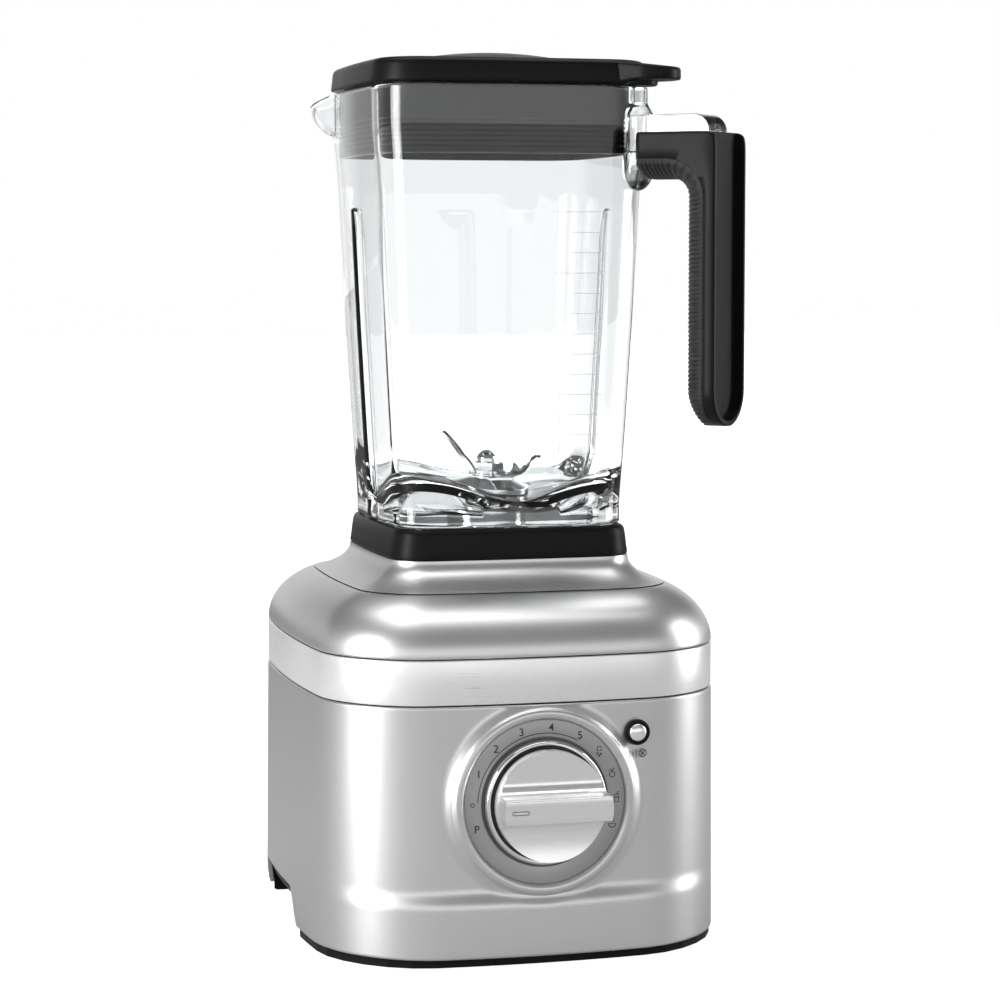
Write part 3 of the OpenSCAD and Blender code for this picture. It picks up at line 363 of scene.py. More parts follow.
finishes = {
    "painted_silver": finish("paintedSilver", (0.70, 0.70, 0.705), metallic=0.9, roughness=0.36,
                             spread=0.05, tone=0.05, grain=2600, bump=0.12, bumpDepth=0.00004,
                             coat=0.15, coatRoughness=0.15),
    "brushed_band": finish("brushedBand", (0.97, 0.97, 0.97), metallic=0.6, roughness=0.34,
                           spread=0.22, tone=0.07, grain=1, stretch=(25, 25, 4200), bump=0.25,
                           bumpDepth=0.00005, specks=600),
    "plate_grey": finish("plateGrey", (0.42, 0.42, 0.425), metallic=0.7, roughness=0.42,
                         spread=0.06, tone=0.04, grain=1800, bump=0.08),
    "black_plastic": finish("blackPlastic", (0.0075, 0.0075, 0.008), roughness=0.36, spread=0.1,
                            tone=0.12, grain=1500, bump=0.12, bumpDepth=0.00006, wear=0.25,
                            wearColour=(0.05, 0.05, 0.05, 1), specular=0.11),
    "black_rubber": finish("blackRubber", (0.012, 0.012, 0.0125), roughness=0.62, spread=0.12,
                           tone=0.15, grain=1100, bump=0.25, bumpDepth=0.0001, sheen=0.04,
                           specular=0.3),
    "knob_metal": finish("knobMetal", (0.96, 0.96, 0.96), metallic=0.75, roughness=0.24, spread=0.1,
                         tone=0.04, grain=1, stretch=(160, 160, 2600), bump=0.08,
                         bumpDepth=0.00003),
    "white_mark": finish("whiteMark", (0.93, 0.93, 0.93), roughness=0.3, metallic=0.2),
    "blade_steel": finish("bladeSteel", (0.72, 0.725, 0.73), metallic=1, roughness=0.12,
                          spread=0.08, tone=0.06, grain=1, stretch=(900, 300, 900), bump=0.05,
                          bumpDepth=0.00004),
    "plain_steel": finish("plainSteel", (0.58, 0.585, 0.59), metallic=1, roughness=0.3,
                          grain=1200, bump=0.08),
    "lamination": finish("lamination", (0.26, 0.265, 0.27), metallic=0.8, roughness=0.5,
                         spread=0.15, grain=1, stretch=(20, 20, 2000), bump=0.6, bumpDepth=0.0003),
    "copper": finish("copperWire", (0.62, 0.25, 0.12), metallic=0.8, roughness=0.35,
                     grain=1, stretch=(40, 40, 1400), bump=0.6, bumpDepth=0.0003, coat=0.5),
    "cast_bracket": finish("castBracket", (0.6, 0.6, 0.61), metallic=0.9, roughness=0.5,
                           grain=500, bump=0.3, bumpDepth=0.0002),
    "brass": finish("brassStrip", (0.72, 0.52, 0.22), metallic=1, roughness=0.33, grain=900),
    "carbon": finish("carbonBlock", (0.03, 0.03, 0.03), roughness=0.7, grain=1500, bump=0.3),
    "coupler_plastic": finish("couplerPlastic", (0.035, 0.035, 0.04), roughness=0.45, grain=900,
                              bump=0.15),
    "board_green": finish("boardGreen", (0.04, 0.17, 0.07), roughness=0.35, coat=0.4, grain=500),
    "part_grey": finish("partGrey", (0.06, 0.06, 0.07), roughness=0.5, grain=900, bump=0.15),
    "clear_jar": clearFinish("clearJar"),
}
inkFinish = finish("printedInk", (0.03, 0.03, 0.032), roughness=0.5, grain=900)
scaleFinish = finish("scaleInk", (0.9, 0.91, 0.92), roughness=0.6, grain=900)
# painted shade: a flat dark grey that stands in for the shade in the dial's recess and at the edge of the knob's
# slot
shadeGreyFinish = finish("paintedShadeGrey", (0.13, 0.13, 0.132), metallic=0.5, roughness=0.5, grain=900)
chromeFinish = finish("chromeRim", (0.88, 0.88, 0.89), metallic=1, roughness=0.1, grain=1800,
                      bump=0.02)
# painted shade: the blade steel copied with a much darker colour for the fork wing, which looks dark
forkShadedSteelFinish = finish("forkSteelPaintedShade", (0.16, 0.16, 0.163), metallic=1, roughness=0.22, spread=0.08,
                    tone=0.06, grain=1, stretch=(900, 300, 900), bump=0.05, bumpDepth=0.00004)
sleeveFinish = finish("sleeveRubber", (0.016, 0.016, 0.0165), roughness=0.58, spread=0.1,
                      tone=0.12, grain=1400, bump=0.2, bumpDepth=0.00008, sheen=0.04, specular=0.35)

slotOfNode = {s["node"]: s["material_slot"] for s in frame["record"]["subparts"]}
for nodeName, node in frame["nodes"].items():
    node.data.materials.clear()
    node.data.materials.append(finishes[slotOfNode[nodeName]])
print("finishes made:", len(bpy.data.materials))


def dress(piece, body, slotName, material=None, replaces=()):
    piece.data.materials.append(material or finishes[slotName])
    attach(piece, body)
    if replaces:
        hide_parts(*replaces)
    return piece


# ---------- camera, lights and floor

view = {"place": (-0.3495, -1.3340, 0.3196), "turn": -14.96, "tilt": 4.95, "lens": 105.2}


def makeCamera():
    data = bpy.data.cameras.new("camera")
    data.lens = view["lens"]
    data.sensor_width = 36
    camera = bpy.data.objects.new("camera", data)
    camera.location = view["place"]
    camera.rotation_euler = (math.radians(90 - view["tilt"]), 0, math.radians(view["turn"]))
    bpy.context.scene.collection.objects.link(camera)
    bpy.context.scene.camera = camera


studio = {
    "behind": 1.0, "side": 0.45, "front": 1.35, "above": 0.15, "strip": 0.06,
    "lamps": [
        # name, place, aim, width, height, power
        ("leftBox", (-1.35, -0.42, 0.3), (0, 0, 0.15), 0.45, 1.2, 20),
        ("rightBox", (1.3, -0.1, 0.3), (0, 0, 0.15), 0.4, 1.2, 9),
        ("topBox", (0.0, 0.1, 1.7), (0, 0, 0.2), 1.6, 1.1, 15),
    ],
    "floor": 9.0, "glow": 1.0, "dimFloor": 0.5,
}


def makeLamp(name, place, aim, width, height, power):
    data = bpy.data.lights.new(name, "AREA")
    data.shape = "RECTANGLE"
    data.size, data.size_y, data.energy = width, height, power
    lamp = bpy.data.objects.new(name, data)
    lamp.location = place
    way = np.array(aim) - np.array(place)
    flat = math.hypot(way[0], way[1])
    lamp.rotation_euler = (math.atan2(flat, -way[2]), 0, math.atan2(-way[0], way[1]))
    bpy.context.scene.collection.objects.link(lamp)


def makeSky():
    # a white sheet stands behind the object; the room is dim at the sides, lighter in front and above
    world = bpy.data.worlds.new("studio")
    bpy.context.scene.world = world
    world.use_nodes = True
    tree = world.node_tree
    way = addNode(tree, "ShaderNodeTexCoord").outputs["Generated"]

    def along(direction, low, high, first, second):
        dot = addNode(tree, "ShaderNodeVectorMath", operation="DOT_PRODUCT")
        tree.links.new(way, dot.inputs[0])
        dot.inputs[1].default_value = direction
        ramp = addNode(tree, "ShaderNodeMapRange", interpolation_type="SMOOTHSTEP")
        ramp.inputs["From Min"].default_value = low
        ramp.inputs["From Max"].default_value = high
        ramp.inputs["To Min"].default_value = first
        ramp.inputs["To Max"].default_value = second
        tree.links.new(dot.outputs["Value"], ramp.inputs["Value"])
        return ramp.outputs["Result"]

    turn = math.radians(view["turn"])
    ahead = (-math.sin(turn), math.cos(turn), 0)
    sheet = along(ahead, 0.80, 0.95, 0, studio["behind"])
    front = along(ahead, -0.2, -0.9, studio["side"], studio["front"])
    above = along((0, 0, 1), 0.25, 0.85, 0, studio["above"])
    low = along((0, 0, 1), 0.28, 0.5, 1, 0)
    strip = along((0, 0, 1), 0.2, 0.45, 1, studio["strip"])
    total = mathNode(tree, "ADD", above, mathNode(
        tree, "MAXIMUM", mathNode(tree, "MULTIPLY", sheet, low), mathNode(tree, "MULTIPLY", front, strip)))
    tree.links.new(total, tree.nodes["Background"].inputs["Strength"])
    tree.nodes["Background"].inputs["Color"].default_value = (1, 1, 1, 1)


def makeStudio():
    makeSky()
    for lamp in studio["lamps"]:
        makeLamp(*lamp)
    half = studio["floor"]
    corners = np.array([[-half, -half, 0], [half, -half, 0], [half, half, 0], [-half, half, 0]])
    floor = makeObject("floor", corners, [[0, 1, 2, 3]])
    material = finish("floorPaper", (0.93, 0.93, 0.93), roughness=0.6, grain=300, tone=0.01,
                      bump=0.02, specular=0.1)
    shader = material.node_tree.nodes["Principled BSDF"]
    shader.inputs["Emission Color"].default_value = (1, 1, 1, 1)
    tree = material.node_tree
    path = addNode(tree, "ShaderNodeLightPath")
    seen = mathNode(tree, "MAXIMUM", path.outputs["Is Camera Ray"], path.outputs["Is Transmission Ray"])
    tree.links.new(mathNode(tree, "MULTIPLY", seen, studio["glow"]), shader.inputs["Emission Strength"])
    tone = next(n for n in tree.nodes if n.type == "GROUP" and n.node_tree == toneGroup)
    mix = addNode(tree, "ShaderNodeMix", data_type="RGBA")
    tree.links.new(seen, mix.inputs["Factor"])
    mix.inputs["A"].default_value = (studio["dimFloor"],) * 3 + (1,)
    mix.inputs["B"].default_value = (0.93, 0.93, 0.93, 1)
    tree.links.new(mix.outputs["Result"], tone.inputs["Colour"])
    floor.data.materials.append(material)
    bpy.context.scene.view_settings.view_transform = "Standard"


makeCamera()
makeStudio()
print("studio ready")


# ---------- base: body, band, dome and neck

baseShape = {
    "halfWidth": bodyHigh[0], "halfDepth": 107.3 * mm, "corner": 45 * mm, "draft": 1.4 * mm,
    "bow": 7.5 * mm, "back": 5.2 * mm, "wall": 2.2 * mm,
    "stepHeight": 32 * mm, "stepOut": 2.8 * mm, "stepBlend": 8.5 * mm,
    "neckHalf": (57.9 * mm, 58.8 * mm), "neckCorner": 15 * mm, "neckBow": 2.3 * mm,
    "archMiddle": 28 * mm, "archLength": 98 * mm, "archHeight": 16.5 * mm, "archSlope": 15 * mm,
}
dialShape = {
    "z": 74.5 * mm, "plate": 37 * mm, "rim": 4.2 * mm, "moundOut": 46.5 * mm, "moundIn": 40.5 * mm,
    "moundHeight": 0.9 * mm, "skirt": 28 * mm, "knob": 24.6 * mm, "bar": 11 * mm,
}
faceY = -(baseShape["halfDepth"] - baseShape["back"])
vents = {"count": 9, "pitch": 9 * mm, "width": 3 * mm, "low": 45.3 * mm, "high": 79.3 * mm}


def wallRings(fraction, inset, **counts):
    # body section at a fraction of the way from the foot to the band, drawn in by inset
    p = baseShape
    fraction, inset = np.asarray(fraction, float), np.asarray(inset, float)
    return roundedRings(p["halfWidth"] - p["draft"] * fraction - inset,
                        p["halfDepth"] - p["draft"] / 2 * fraction - inset,
                        p["corner"] - 3 * p["draft"] * fraction - inset,
                        p["bow"], p["back"], **counts)


def archHeights(x, y):
    # height of the hand recess's edge over each point of the foot: a smooth rise at both ends
    p = baseShape
    fromEnd = p["archLength"] / 2 - np.abs(y - p["archMiddle"])
    rise = smoothStep(fromEnd / p["archSlope"]) ** 0.8
    return np.where(np.abs(x) > p["halfWidth"] * 0.75, rise * p["archHeight"], 0)


def shapedFront(rings, inset=0.0):
    # steps the foot out and swells a flat mound round the dial, both only on the front
    p, d = baseShape, dialShape
    x, y, z = rings[..., 0], rings[..., 1], rings[..., 2]
    front = y < 0
    fade = np.clip(1 - (x / (p["halfWidth"] * 0.93)) ** 2, 0, 1) ** 0.6
    step = p["stepOut"] * (1 - smoothStep((z - p["stepHeight"] + p["stepBlend"] / 2) / p["stepBlend"]))
    y = np.where(front, y - step * fade, y)
    away = np.hypot(x, z - d["z"])
    near = smoothStep((d["moundOut"] - away) / (d["moundOut"] - d["moundIn"]))
    near = near * smoothStep((away - d["plate"] + 1 * mm) / (2.5 * mm))
    y = np.where(front, y + (faceY - d["moundHeight"] + inset - y) * near, y)
    return np.stack([x, y, z], axis=-1)


def cutterMesh():
    # round holes for the dial shaft, the button and the cord, and the slots of the rear vent
    cutters = []
    for x, z, radius, y0, y1 in (
            (0, dialShape["z"], 9 * mm, -0.14, -0.06),
            (43.5 * mm, 103.5 * mm, 5.1 * mm, -0.14, -0.06),
            (52 * mm, 24 * mm, 5.5 * mm, 0.08, 0.14)):
        t = np.linspace(0, 2 * math.pi, 64, endpoint=False)
        cutters.append([np.stack([x + radius * np.cos(t), 0 * t + y, z - radius * np.sin(t)], 1)
                        for y in (y0, y1)])
    for k in range(vents["count"]):
        x = (k - (vents["count"] - 1) / 2) * vents["pitch"]
        half = vents["width"] / 2
        t = np.linspace(0, math.pi, 12)
        xs = np.concatenate([x + half * np.cos(t), x - half * np.cos(t)])
        zs = np.concatenate([vents["high"] - half + half * np.sin(t),
                             vents["low"] + half - half * np.sin(t)])
        cutters.append([np.stack([xs, 0 * xs + y, zs], 1)[::-1] for y in (0.095, 0.13)])
    points, faces = [], []
    for low, high in cutters:
        n, start = len(low), sum(len(p) for p in points)
        points.append(np.vstack([low, high]))
        j = np.arange(n)
        jNext = (j + 1) % n
        faces += (np.stack([j, jNext, jNext + n, j + n], 1) + start).tolist()
        faces += [(j[::-1] + start).tolist(), (j + n + start).tolist()]
    return makeObject("cutter", np.vstack(points), faces)


def carved(piece, cutter):
    # takes the cutter out of the piece and keeps the result as plain mesh
    cut = piece.modifiers.new("holes", "BOOLEAN")
    cut.operation, cut.object, cut.solver = "DIFFERENCE", cutter, "EXACT"
    bpy.context.view_layer.update()
    shown = piece.evaluated_get(bpy.context.evaluated_depsgraph_get())
    mesh = bpy.data.meshes.new_from_object(shown)
    piece.modifiers.clear()
    piece.data = mesh
    bpy.data.objects.remove(cutter)
    mesh.shade_smooth()
    mesh.set_sharp_from_angle(angle=math.radians(40))
    return piece


def makeBody():
    z0, z1 = bodyLow[2], bodyHigh[2]
    edge = 0.8 * mm
    turn = np.radians(np.linspace(0, 90, 4))
    lowV = edge * (1 - np.sin(turn)) / (z1 - z0)
    outerV = np.concatenate([lowV[::-1], np.linspace(0, 1, 76)[1:-1], 1 - lowV])
    outerInset = np.concatenate([(edge * (1 - np.cos(turn)))[::-1], np.zeros(74),
                                 edge * (1 - np.cos(turn))])
    outerV, outerInset = np.sort(outerV), outerInset
    innerV = np.linspace(1, 0, 10)
    v = np.concatenate([outerV, innerV])
    inset = np.concatenate([outerInset, np.full(10, baseShape["wall"])])
    flat = wallRings(v, inset, nCorner=24, nSide=96)
    foot = archHeights(flat[..., 0], flat[..., 1])
    z = z0 + foot + (z1 - z0 - foot) * v[:, None]
    rings = atHeight(flat, z)
    rings[:len(outerV)] = shapedFront(rings[:len(outerV)])
    rings[len(outerV):] = shapedFront(rings[len(outerV):], baseShape["wall"])
    body = ringSkin("bodySkin", rings, loop=True)
    carved(body, cutterMesh())
    return dress(body, "base", "painted_silver", replaces=["body_shell"])


def makeBand():
    z0, z1 = bandLow[2], bandHigh[2]
    turn = np.radians(np.linspace(0, 90, 4))
    edge = 0.5 * mm
    zs = np.concatenate([z0 + edge * (1 - np.sin(turn))[::-1][::-1], z1 - edge * (1 - np.sin(turn))[::-1]])
    insets = np.concatenate([edge * (1 - np.cos(turn))[::-1], edge * (1 - np.cos(turn))])
    zs = np.sort(zs)
    zs = np.concatenate([zs, [z1, z0]])
    insets = np.concatenate([insets, [baseShape["wall"]] * 2]) + 0.3 * mm
    rings = atHeight(wallRings(np.ones(len(zs)), insets, nCorner=36, nSide=44), zs)
    band = ringSkin("trimBand", rings, loop=True)
    dress(band, "base", "brushed_band", replaces=["trim_band"])
    for name, low, high in (("lowerSeam", bodyHigh[2], z0), ("upperSeam", z1, domeLow[2])):
        levels = np.array([low, high, high, low])
        insets = np.array([1.0, 1.0, 2.2, 2.2]) * mm
        seam = ringSkin(name, atHeight(wallRings(np.ones(4), insets, nCorner=24, nSide=30), levels),
                        loop=True)
        dress(seam, "base", "black_rubber")
    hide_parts("band_gaskets")


def blendRings(w, inset):
    # section between the neck (w = 0) and the dome's foot (w = 1)
    p = baseShape
    w, inset = np.asarray(w, float), np.asarray(inset, float)
    topA = p["halfWidth"] - p["draft"] - 0.3 * mm
    topB = p["halfDepth"] - p["draft"] / 2 + 0.3 * mm
    topR = p["corner"] - 3 * p["draft"] - 0.3 * mm
    return roundedRings(p["neckHalf"][0] + (topA - p["neckHalf"][0]) * w - inset,
                        p["neckHalf"][1] + (topB - p["neckHalf"][1]) * w - inset,
                        np.maximum(p["neckCorner"] + (topR - p["neckCorner"]) * w - inset, 4 * mm),
                        p["neckBow"] + (p["bow"] - p["neckBow"]) * w, p["back"] * w,
                        nCorner=24, nSide=34)


def makeDome():
    z0, z1 = domeLow[2], domeHigh[2]
    rise = 29.3 * mm * (z1 - z0) / (26.1 * mm)
    last = math.asin((z1 - z0) / rise)
    t = np.concatenate([[0, 0.006, 0.015], np.linspace(0.03, last, 44)])
    inset = np.concatenate([[0.5, 0.2, 0.05], np.zeros(44)]) * mm
    inset[-2:] = [0.1 * mm, 0.45 * mm]
    tIn = np.linspace(last, 0, 12)
    wall = baseShape["wall"]
    w = np.concatenate([np.cos(t), np.cos(tIn)])
    insets = np.concatenate([inset, np.full(12, wall)])
    z = np.concatenate([z0 + rise * np.sin(t), z0 + (rise - wall) * np.sin(tIn)])
    z[len(t) - 1] -= 0.25 * mm
    rings = atHeight(blendRings(w, insets), z)
    dress(ringSkin("domeSkin", rings, loop=True), "base", "painted_silver", replaces=["dome_shell"])


def circleLike(rings, radius):
    # a circle whose points lie in the same directions as the points of a flat ring
    return rings / np.linalg.norm(rings, axis=-1, keepdims=True) * radius


def makeNeck():
    z0, z1 = neckLow[2], neckHigh[2]
    bend = 15 * mm * (z1 - z0) / (12.8 * mm)
    wall = baseShape["wall"]
    spread = 0.454 / (1 - math.sqrt(1 - ((z1 - z0) / bend) ** 2))
    t = np.linspace(0, 90, 34)
    z = z0 + (z1 - z0) * np.sin(np.radians(t))
    w = spread * (1 - np.sqrt(np.maximum(1 - ((z1 - z) / bend) ** 2, 0)))
    inset = np.zeros(34)
    inset[:3] = np.array([0.45, 0.15, 0.03]) * mm
    inset[-2:] = np.array([0.15, 0.5]) * mm
    z[0] += 0.2 * mm
    outer = atHeight(blendRings(w, inset), z)
    top = blendRings([0], [0])
    hole = 30 * mm
    plate = np.concatenate([atHeight(circleLike(top, hole), [z1]),
                            atHeight(circleLike(top, hole), [z1 - 3 * mm]),
                            atHeight(blendRings([0], [wall]), [z1 - 3 * mm])])
    inner = atHeight(blendRings([w[4], w[0]], [wall, wall]), [z[4], z0])
    rings = np.concatenate([outer, plate, inner])
    dress(ringSkin("neckSkin", rings, loop=True), "base", "painted_silver", replaces=["neck_shell"])


makeBody()
print("body made")
makeBand()
makeDome()
makeNeck()
print("base shells made")


# ---------- dial, knob and start button

def onFront(x, z, out):
    # places a shape whose own axis is its height so that the axis points out of the front
    def place(p):
        p = np.asarray(p)
        return np.stack([x + p[..., 0], faceY - out - p[..., 2], z + p[..., 1]], axis=-1)
    return place


dialPlace = onFront(0, dialShape["z"], 0)


def makeDial():
    d = dialShape
    middle = d["plate"] + 2.4 * mm
    profile = [[d["plate"], -1.0 * mm], [d["plate"], 1.3 * mm], [d["plate"] + 0.15 * mm, 1.7 * mm]]
    profile += [[middle - 2.1 * mm * math.cos(k), 1.6 * mm + 1.3 * mm * math.sin(k)]
                for k in np.radians(np.linspace(15, 165, 16))]
    profile += [[middle + 2.5 * mm, 1.2 * mm], [middle + 3.3 * mm, 0.7 * mm],
                [middle + 3.3 * mm, -1.0 * mm]]
    ring = turnedShape("dialRing", np.array(profile)[::-1], dialPlace, steps=192)
    dress(ring, "base", "painted_silver", replaces=["dial_rim"])
    plate = [[9 * mm, 0], [d["plate"] - 0.4 * mm, 0], [d["plate"] - 0.15 * mm, 0.3 * mm],
             [d["plate"] - 0.15 * mm, 1.05 * mm], [d["plate"] - 0.5 * mm, 1.2 * mm],
             [29.5 * mm, 1.2 * mm], [29.2 * mm, 1.1 * mm], [29.0 * mm, 0.5 * mm],
             [9 * mm, 0.5 * mm]]
    dress(turnedShape("dialPlate", plate, dialPlace, steps=192), "base", "plate_grey",
          replaces=["dial_plate"])
    # painted shade: a thin dark disc on the floor of the plate's recess, under the knob's skirt, stands in for
    # the shade that falls there
    shadeDisc = [[9 * mm, 0.5 * mm], [28.95 * mm, 0.5 * mm], [28.95 * mm, 0.62 * mm], [9 * mm, 0.62 * mm]]
    dress(turnedShape("dialShadeDisc", shadeDisc, dialPlace, steps=160), "base", "plate_grey",
          material=shadeGreyFinish)


def makeKnobSkirt():
    d = dialShape
    r = d["skirt"]
    profile = [[3 * mm, 1.9 * mm], [r - 0.6 * mm, 1.9 * mm], [r - 0.1 * mm, 2.4 * mm]]
    profile += [[r, 3.2 * mm], [r - 0.35 * mm, 4.3 * mm]]
    profile += arcPoints((r - 1.4 * mm, 4.2 * mm), 1.0 * mm, 10, 95, 6)
    profile += [[r - 2.4 * mm, 4.95 * mm], [r - 3.0 * mm, 4.6 * mm], [3 * mm, 4.6 * mm]]
    skirt = turnedShape("knobSkirt", profile, dialPlace, steps=192)
    dress(skirt, "dial", "knob_metal", material=chromeFinish, replaces=["knob_skirt"])


knobShape = {"base": 4.8 * mm, "face": 15 * mm, "barOut": 10 * mm, "dish": 1.3 * mm,
             "shoulder": 5.5 * mm}


def makeKnob():
    # the face is a profile across the bar, swept along the bar and trimmed to the round rim:
    # flat bar front, steep flank, hollow shoulder and a face that leans up to the rim
    d, k = dialShape, knobShape
    radius, half = d["knob"], d["bar"] / 2
    top = k["face"] + k["barOut"]
    e = 0.7 * mm
    side = [[0, top], [half * 0.5, top], [half - e, top]]
    side += [[half - e + e * math.sin(t), top - e + e * math.cos(t)] for t in np.radians([25, 50, 75, 90])]
    foot = k["face"] - k["dish"]
    sr = k["shoulder"]
    side += [[half + 0.25 * mm, foot + sr * 0.95]]
    side += [[half + 0.3 * mm + sr * (1 - math.cos(t)), foot + sr * (1 - math.sin(t))]
             for t in np.radians([10, 22, 34, 46, 58, 70, 80, 90])]
    far = radius - 0.08 * mm
    start = half + 0.3 * mm + sr
    for t in np.linspace(0.05, 1, 26):
        side.append([start + (far - start) * math.sin(t * math.pi / 2), foot + k["dish"] * smoothStep(t)])
    side = np.array(side)
    profile = np.concatenate([side[::-1] * [1, 1], side[1:] * [-1, 1]])
    chord = np.sqrt(np.maximum(radius ** 2 - profile[:, 0] ** 2, 1e-9))
    u = np.sin(np.linspace(-math.pi / 2, math.pi / 2, 41))
    x = chord[:, None] * u
    up = np.repeat(profile[:, :1], 41, axis=1)
    height = np.repeat(profile[:, 1:], 41, axis=1)
    front = np.stack([x, up, height], axis=-1)
    rows, cols = front.shape[:2]
    i, j = np.arange(rows - 1)[:, None], np.arange(cols - 1)[None, :]
    faces = np.stack([i * cols + j, (i + 1) * cols + j, (i + 1) * cols + j + 1, i * cols + j + 1],
                     axis=-1).reshape(-1, 4).tolist()
    edge = np.concatenate([np.arange(cols), np.arange(1, rows) * cols + cols - 1,
                           (rows - 1) * cols + np.arange(cols - 2, -1, -1),
                           np.arange(rows - 2, 0, -1) * cols])
    points = front.reshape(-1, 3)
    ring = points[edge]
    low = ring.copy()
    low[:, 2] = k["base"]
    n, start = len(edge), len(points)
    points = np.vstack([points, low, [0, 0, k["base"]]])
    m = np.arange(n)
    mNext = (m + 1) % n
    faces += np.stack([edge, edge[mNext], start + mNext, start + m], 1).tolist()
    faces += np.stack([start + m, start + mNext, np.full(n, start + n)], 1).tolist()
    knob = makeObject("knobFace", dialPlace(points), faces, sharpAngle=30)
    outward(knob)
    knob.data.set_sharp_from_angle(angle=math.radians(30))
    bevelled(knob, 0.3 * mm, 2, 50)
    dress(knob, "dial", "knob_metal", replaces=["knob"])
    # painted shade: the slot mark on the bar is a raised dark outline that stands in for the shaded edge of a
    # sunken slot
    a = np.radians(np.linspace(90, 270, 12))
    slot = np.stack([0.75 * mm * np.cos(a) - 3 * mm, 0.75 * mm * np.sin(a)], 1)
    slot = np.vstack([slot, -slot, slot[:1]]) + [-17.5 * mm, 0]
    points, faces = ribbon([slot], 0.35 * mm, top - 0.09 * mm, dialPlace, depth=0.13 * mm)
    dress(makeObject("knobSlotShade", points, faces), "dial", "white_mark", material=shadeGreyFinish,
          replaces=["knob_marker"])
    # painted shade: a black ring round the knob's foot stands in for the shade in the gap between knob and skirt
    gapShade = [[radius - 1.5 * mm, 4.7 * mm], [radius + 0.6 * mm, 4.7 * mm],
              [radius + 0.9 * mm, 5.2 * mm], [radius + 0.5 * mm, 6.2 * mm],
              [radius + 0.1 * mm, 6.4 * mm], [radius - 1.5 * mm, 6.4 * mm]]
    dress(turnedShape("knobGapShade", gapShade, dialPlace, steps=160), "dial", "black_plastic")


def outward(piece):
    # merges doubles and turns every face of a closed piece outwards
    import bmesh
    work = bmesh.new()
    work.from_mesh(piece.data)
    bmesh.ops.remove_doubles(work, verts=work.verts, dist=1e-7)
    bmesh.ops.recalc_face_normals(work, faces=work.faces)
    work.to_mesh(piece.data)
    work.free()


def ribbon(lines, width, height, place, depth=0.06 * mm):
    # flat strokes as one mesh: each line is a strip of the given width, raised by depth
    points, faces = [], []
    for line in lines:
        line = np.asarray(line, float)
        closed = np.allclose(line[0], line[-1])
        ahead = np.roll(line, -1, 0) - line
        behind = line - np.roll(line, 1, 0)
        if closed:
            behind[0] = behind[-1] = line[-1] - line[-2]
            ahead[-1] = ahead[0]
        else:
            ahead[-1], behind[0] = behind[-1], ahead[0]
        unit = lambda v: v / np.maximum(np.linalg.norm(v, axis=1, keepdims=True), 1e-12)
        way = unit(unit(ahead) + unit(behind))
        side = np.stack([-way[:, 1], way[:, 0]], 1) * width / 2
        n, start = len(line), sum(len(p) for p in points)
        flat = np.concatenate([line + side, line - side])
        points.append(np.concatenate([np.c_[flat, np.full(2 * n, height + depth)],
                                      np.c_[flat, np.full(2 * n, height)]]))
        for k in range(n - 1):
            a, b, c, e = k, k + 1, n + k + 1, n + k
            low = 2 * n
            faces += [[start + q for q in quad] for quad in (
                (a, e, c, b), (a + low, b + low, c + low, e + low),
                (a, b, b + low, a + low), (e, e + low, c + low, c))]
        for a, e in ((0, n), (n - 1, 2 * n - 1)):
            faces.append([start + a, start + a + 2 * n, start + e + 2 * n, start + e])
    return place(np.vstack(points)), faces


def around(radius, start, end, count=24):
    t = np.radians(np.linspace(start, end, count))
    return np.stack([radius * np.cos(t), radius * np.sin(t)], 1)


def makeWord(text, size, at, name, place, slotName, body, material, thick=0.06 * mm, lift=0.0):
    # a numeral or letter as a mesh, centred at a point of the dial's plane
    curve = bpy.data.curves.new(name, "FONT")
    curve.body, curve.size, curve.extrude = text, size, thick / 2
    curve.align_x, curve.align_y, curve.offset = "CENTER", "CENTER", 0.06 * mm
    source = bpy.data.objects.new(name + "Curve", curve)
    bpy.context.scene.collection.objects.link(source)
    bpy.context.view_layer.update()
    mesh = bpy.data.meshes.new_from_object(source.evaluated_get(bpy.context.evaluated_depsgraph_get()))
    bpy.data.objects.remove(source)
    co = np.zeros(len(mesh.vertices) * 3)
    mesh.vertices.foreach_get("co", co)
    co = co.reshape(-1, 3)
    co[:, :2] += at
    co[:, 2] += thick / 2 + lift
    mesh.vertices.foreach_set("co", place(co).ravel())
    mesh.name = name
    mesh.materials.clear()
    piece = bpy.data.objects.new(name, mesh)
    bpy.context.scene.collection.objects.link(piece)
    mesh.update()
    return dress(piece, body, slotName, material=material)


marks = {"radius": 33.2 * mm, "size": 4.9 * mm, "arc": 30.8 * mm, "stroke": 0.38 * mm,
         "letters": {"P": 199.6, "1": 156, "2": 132.5, "3": 109, "4": 85, "5": 61}}


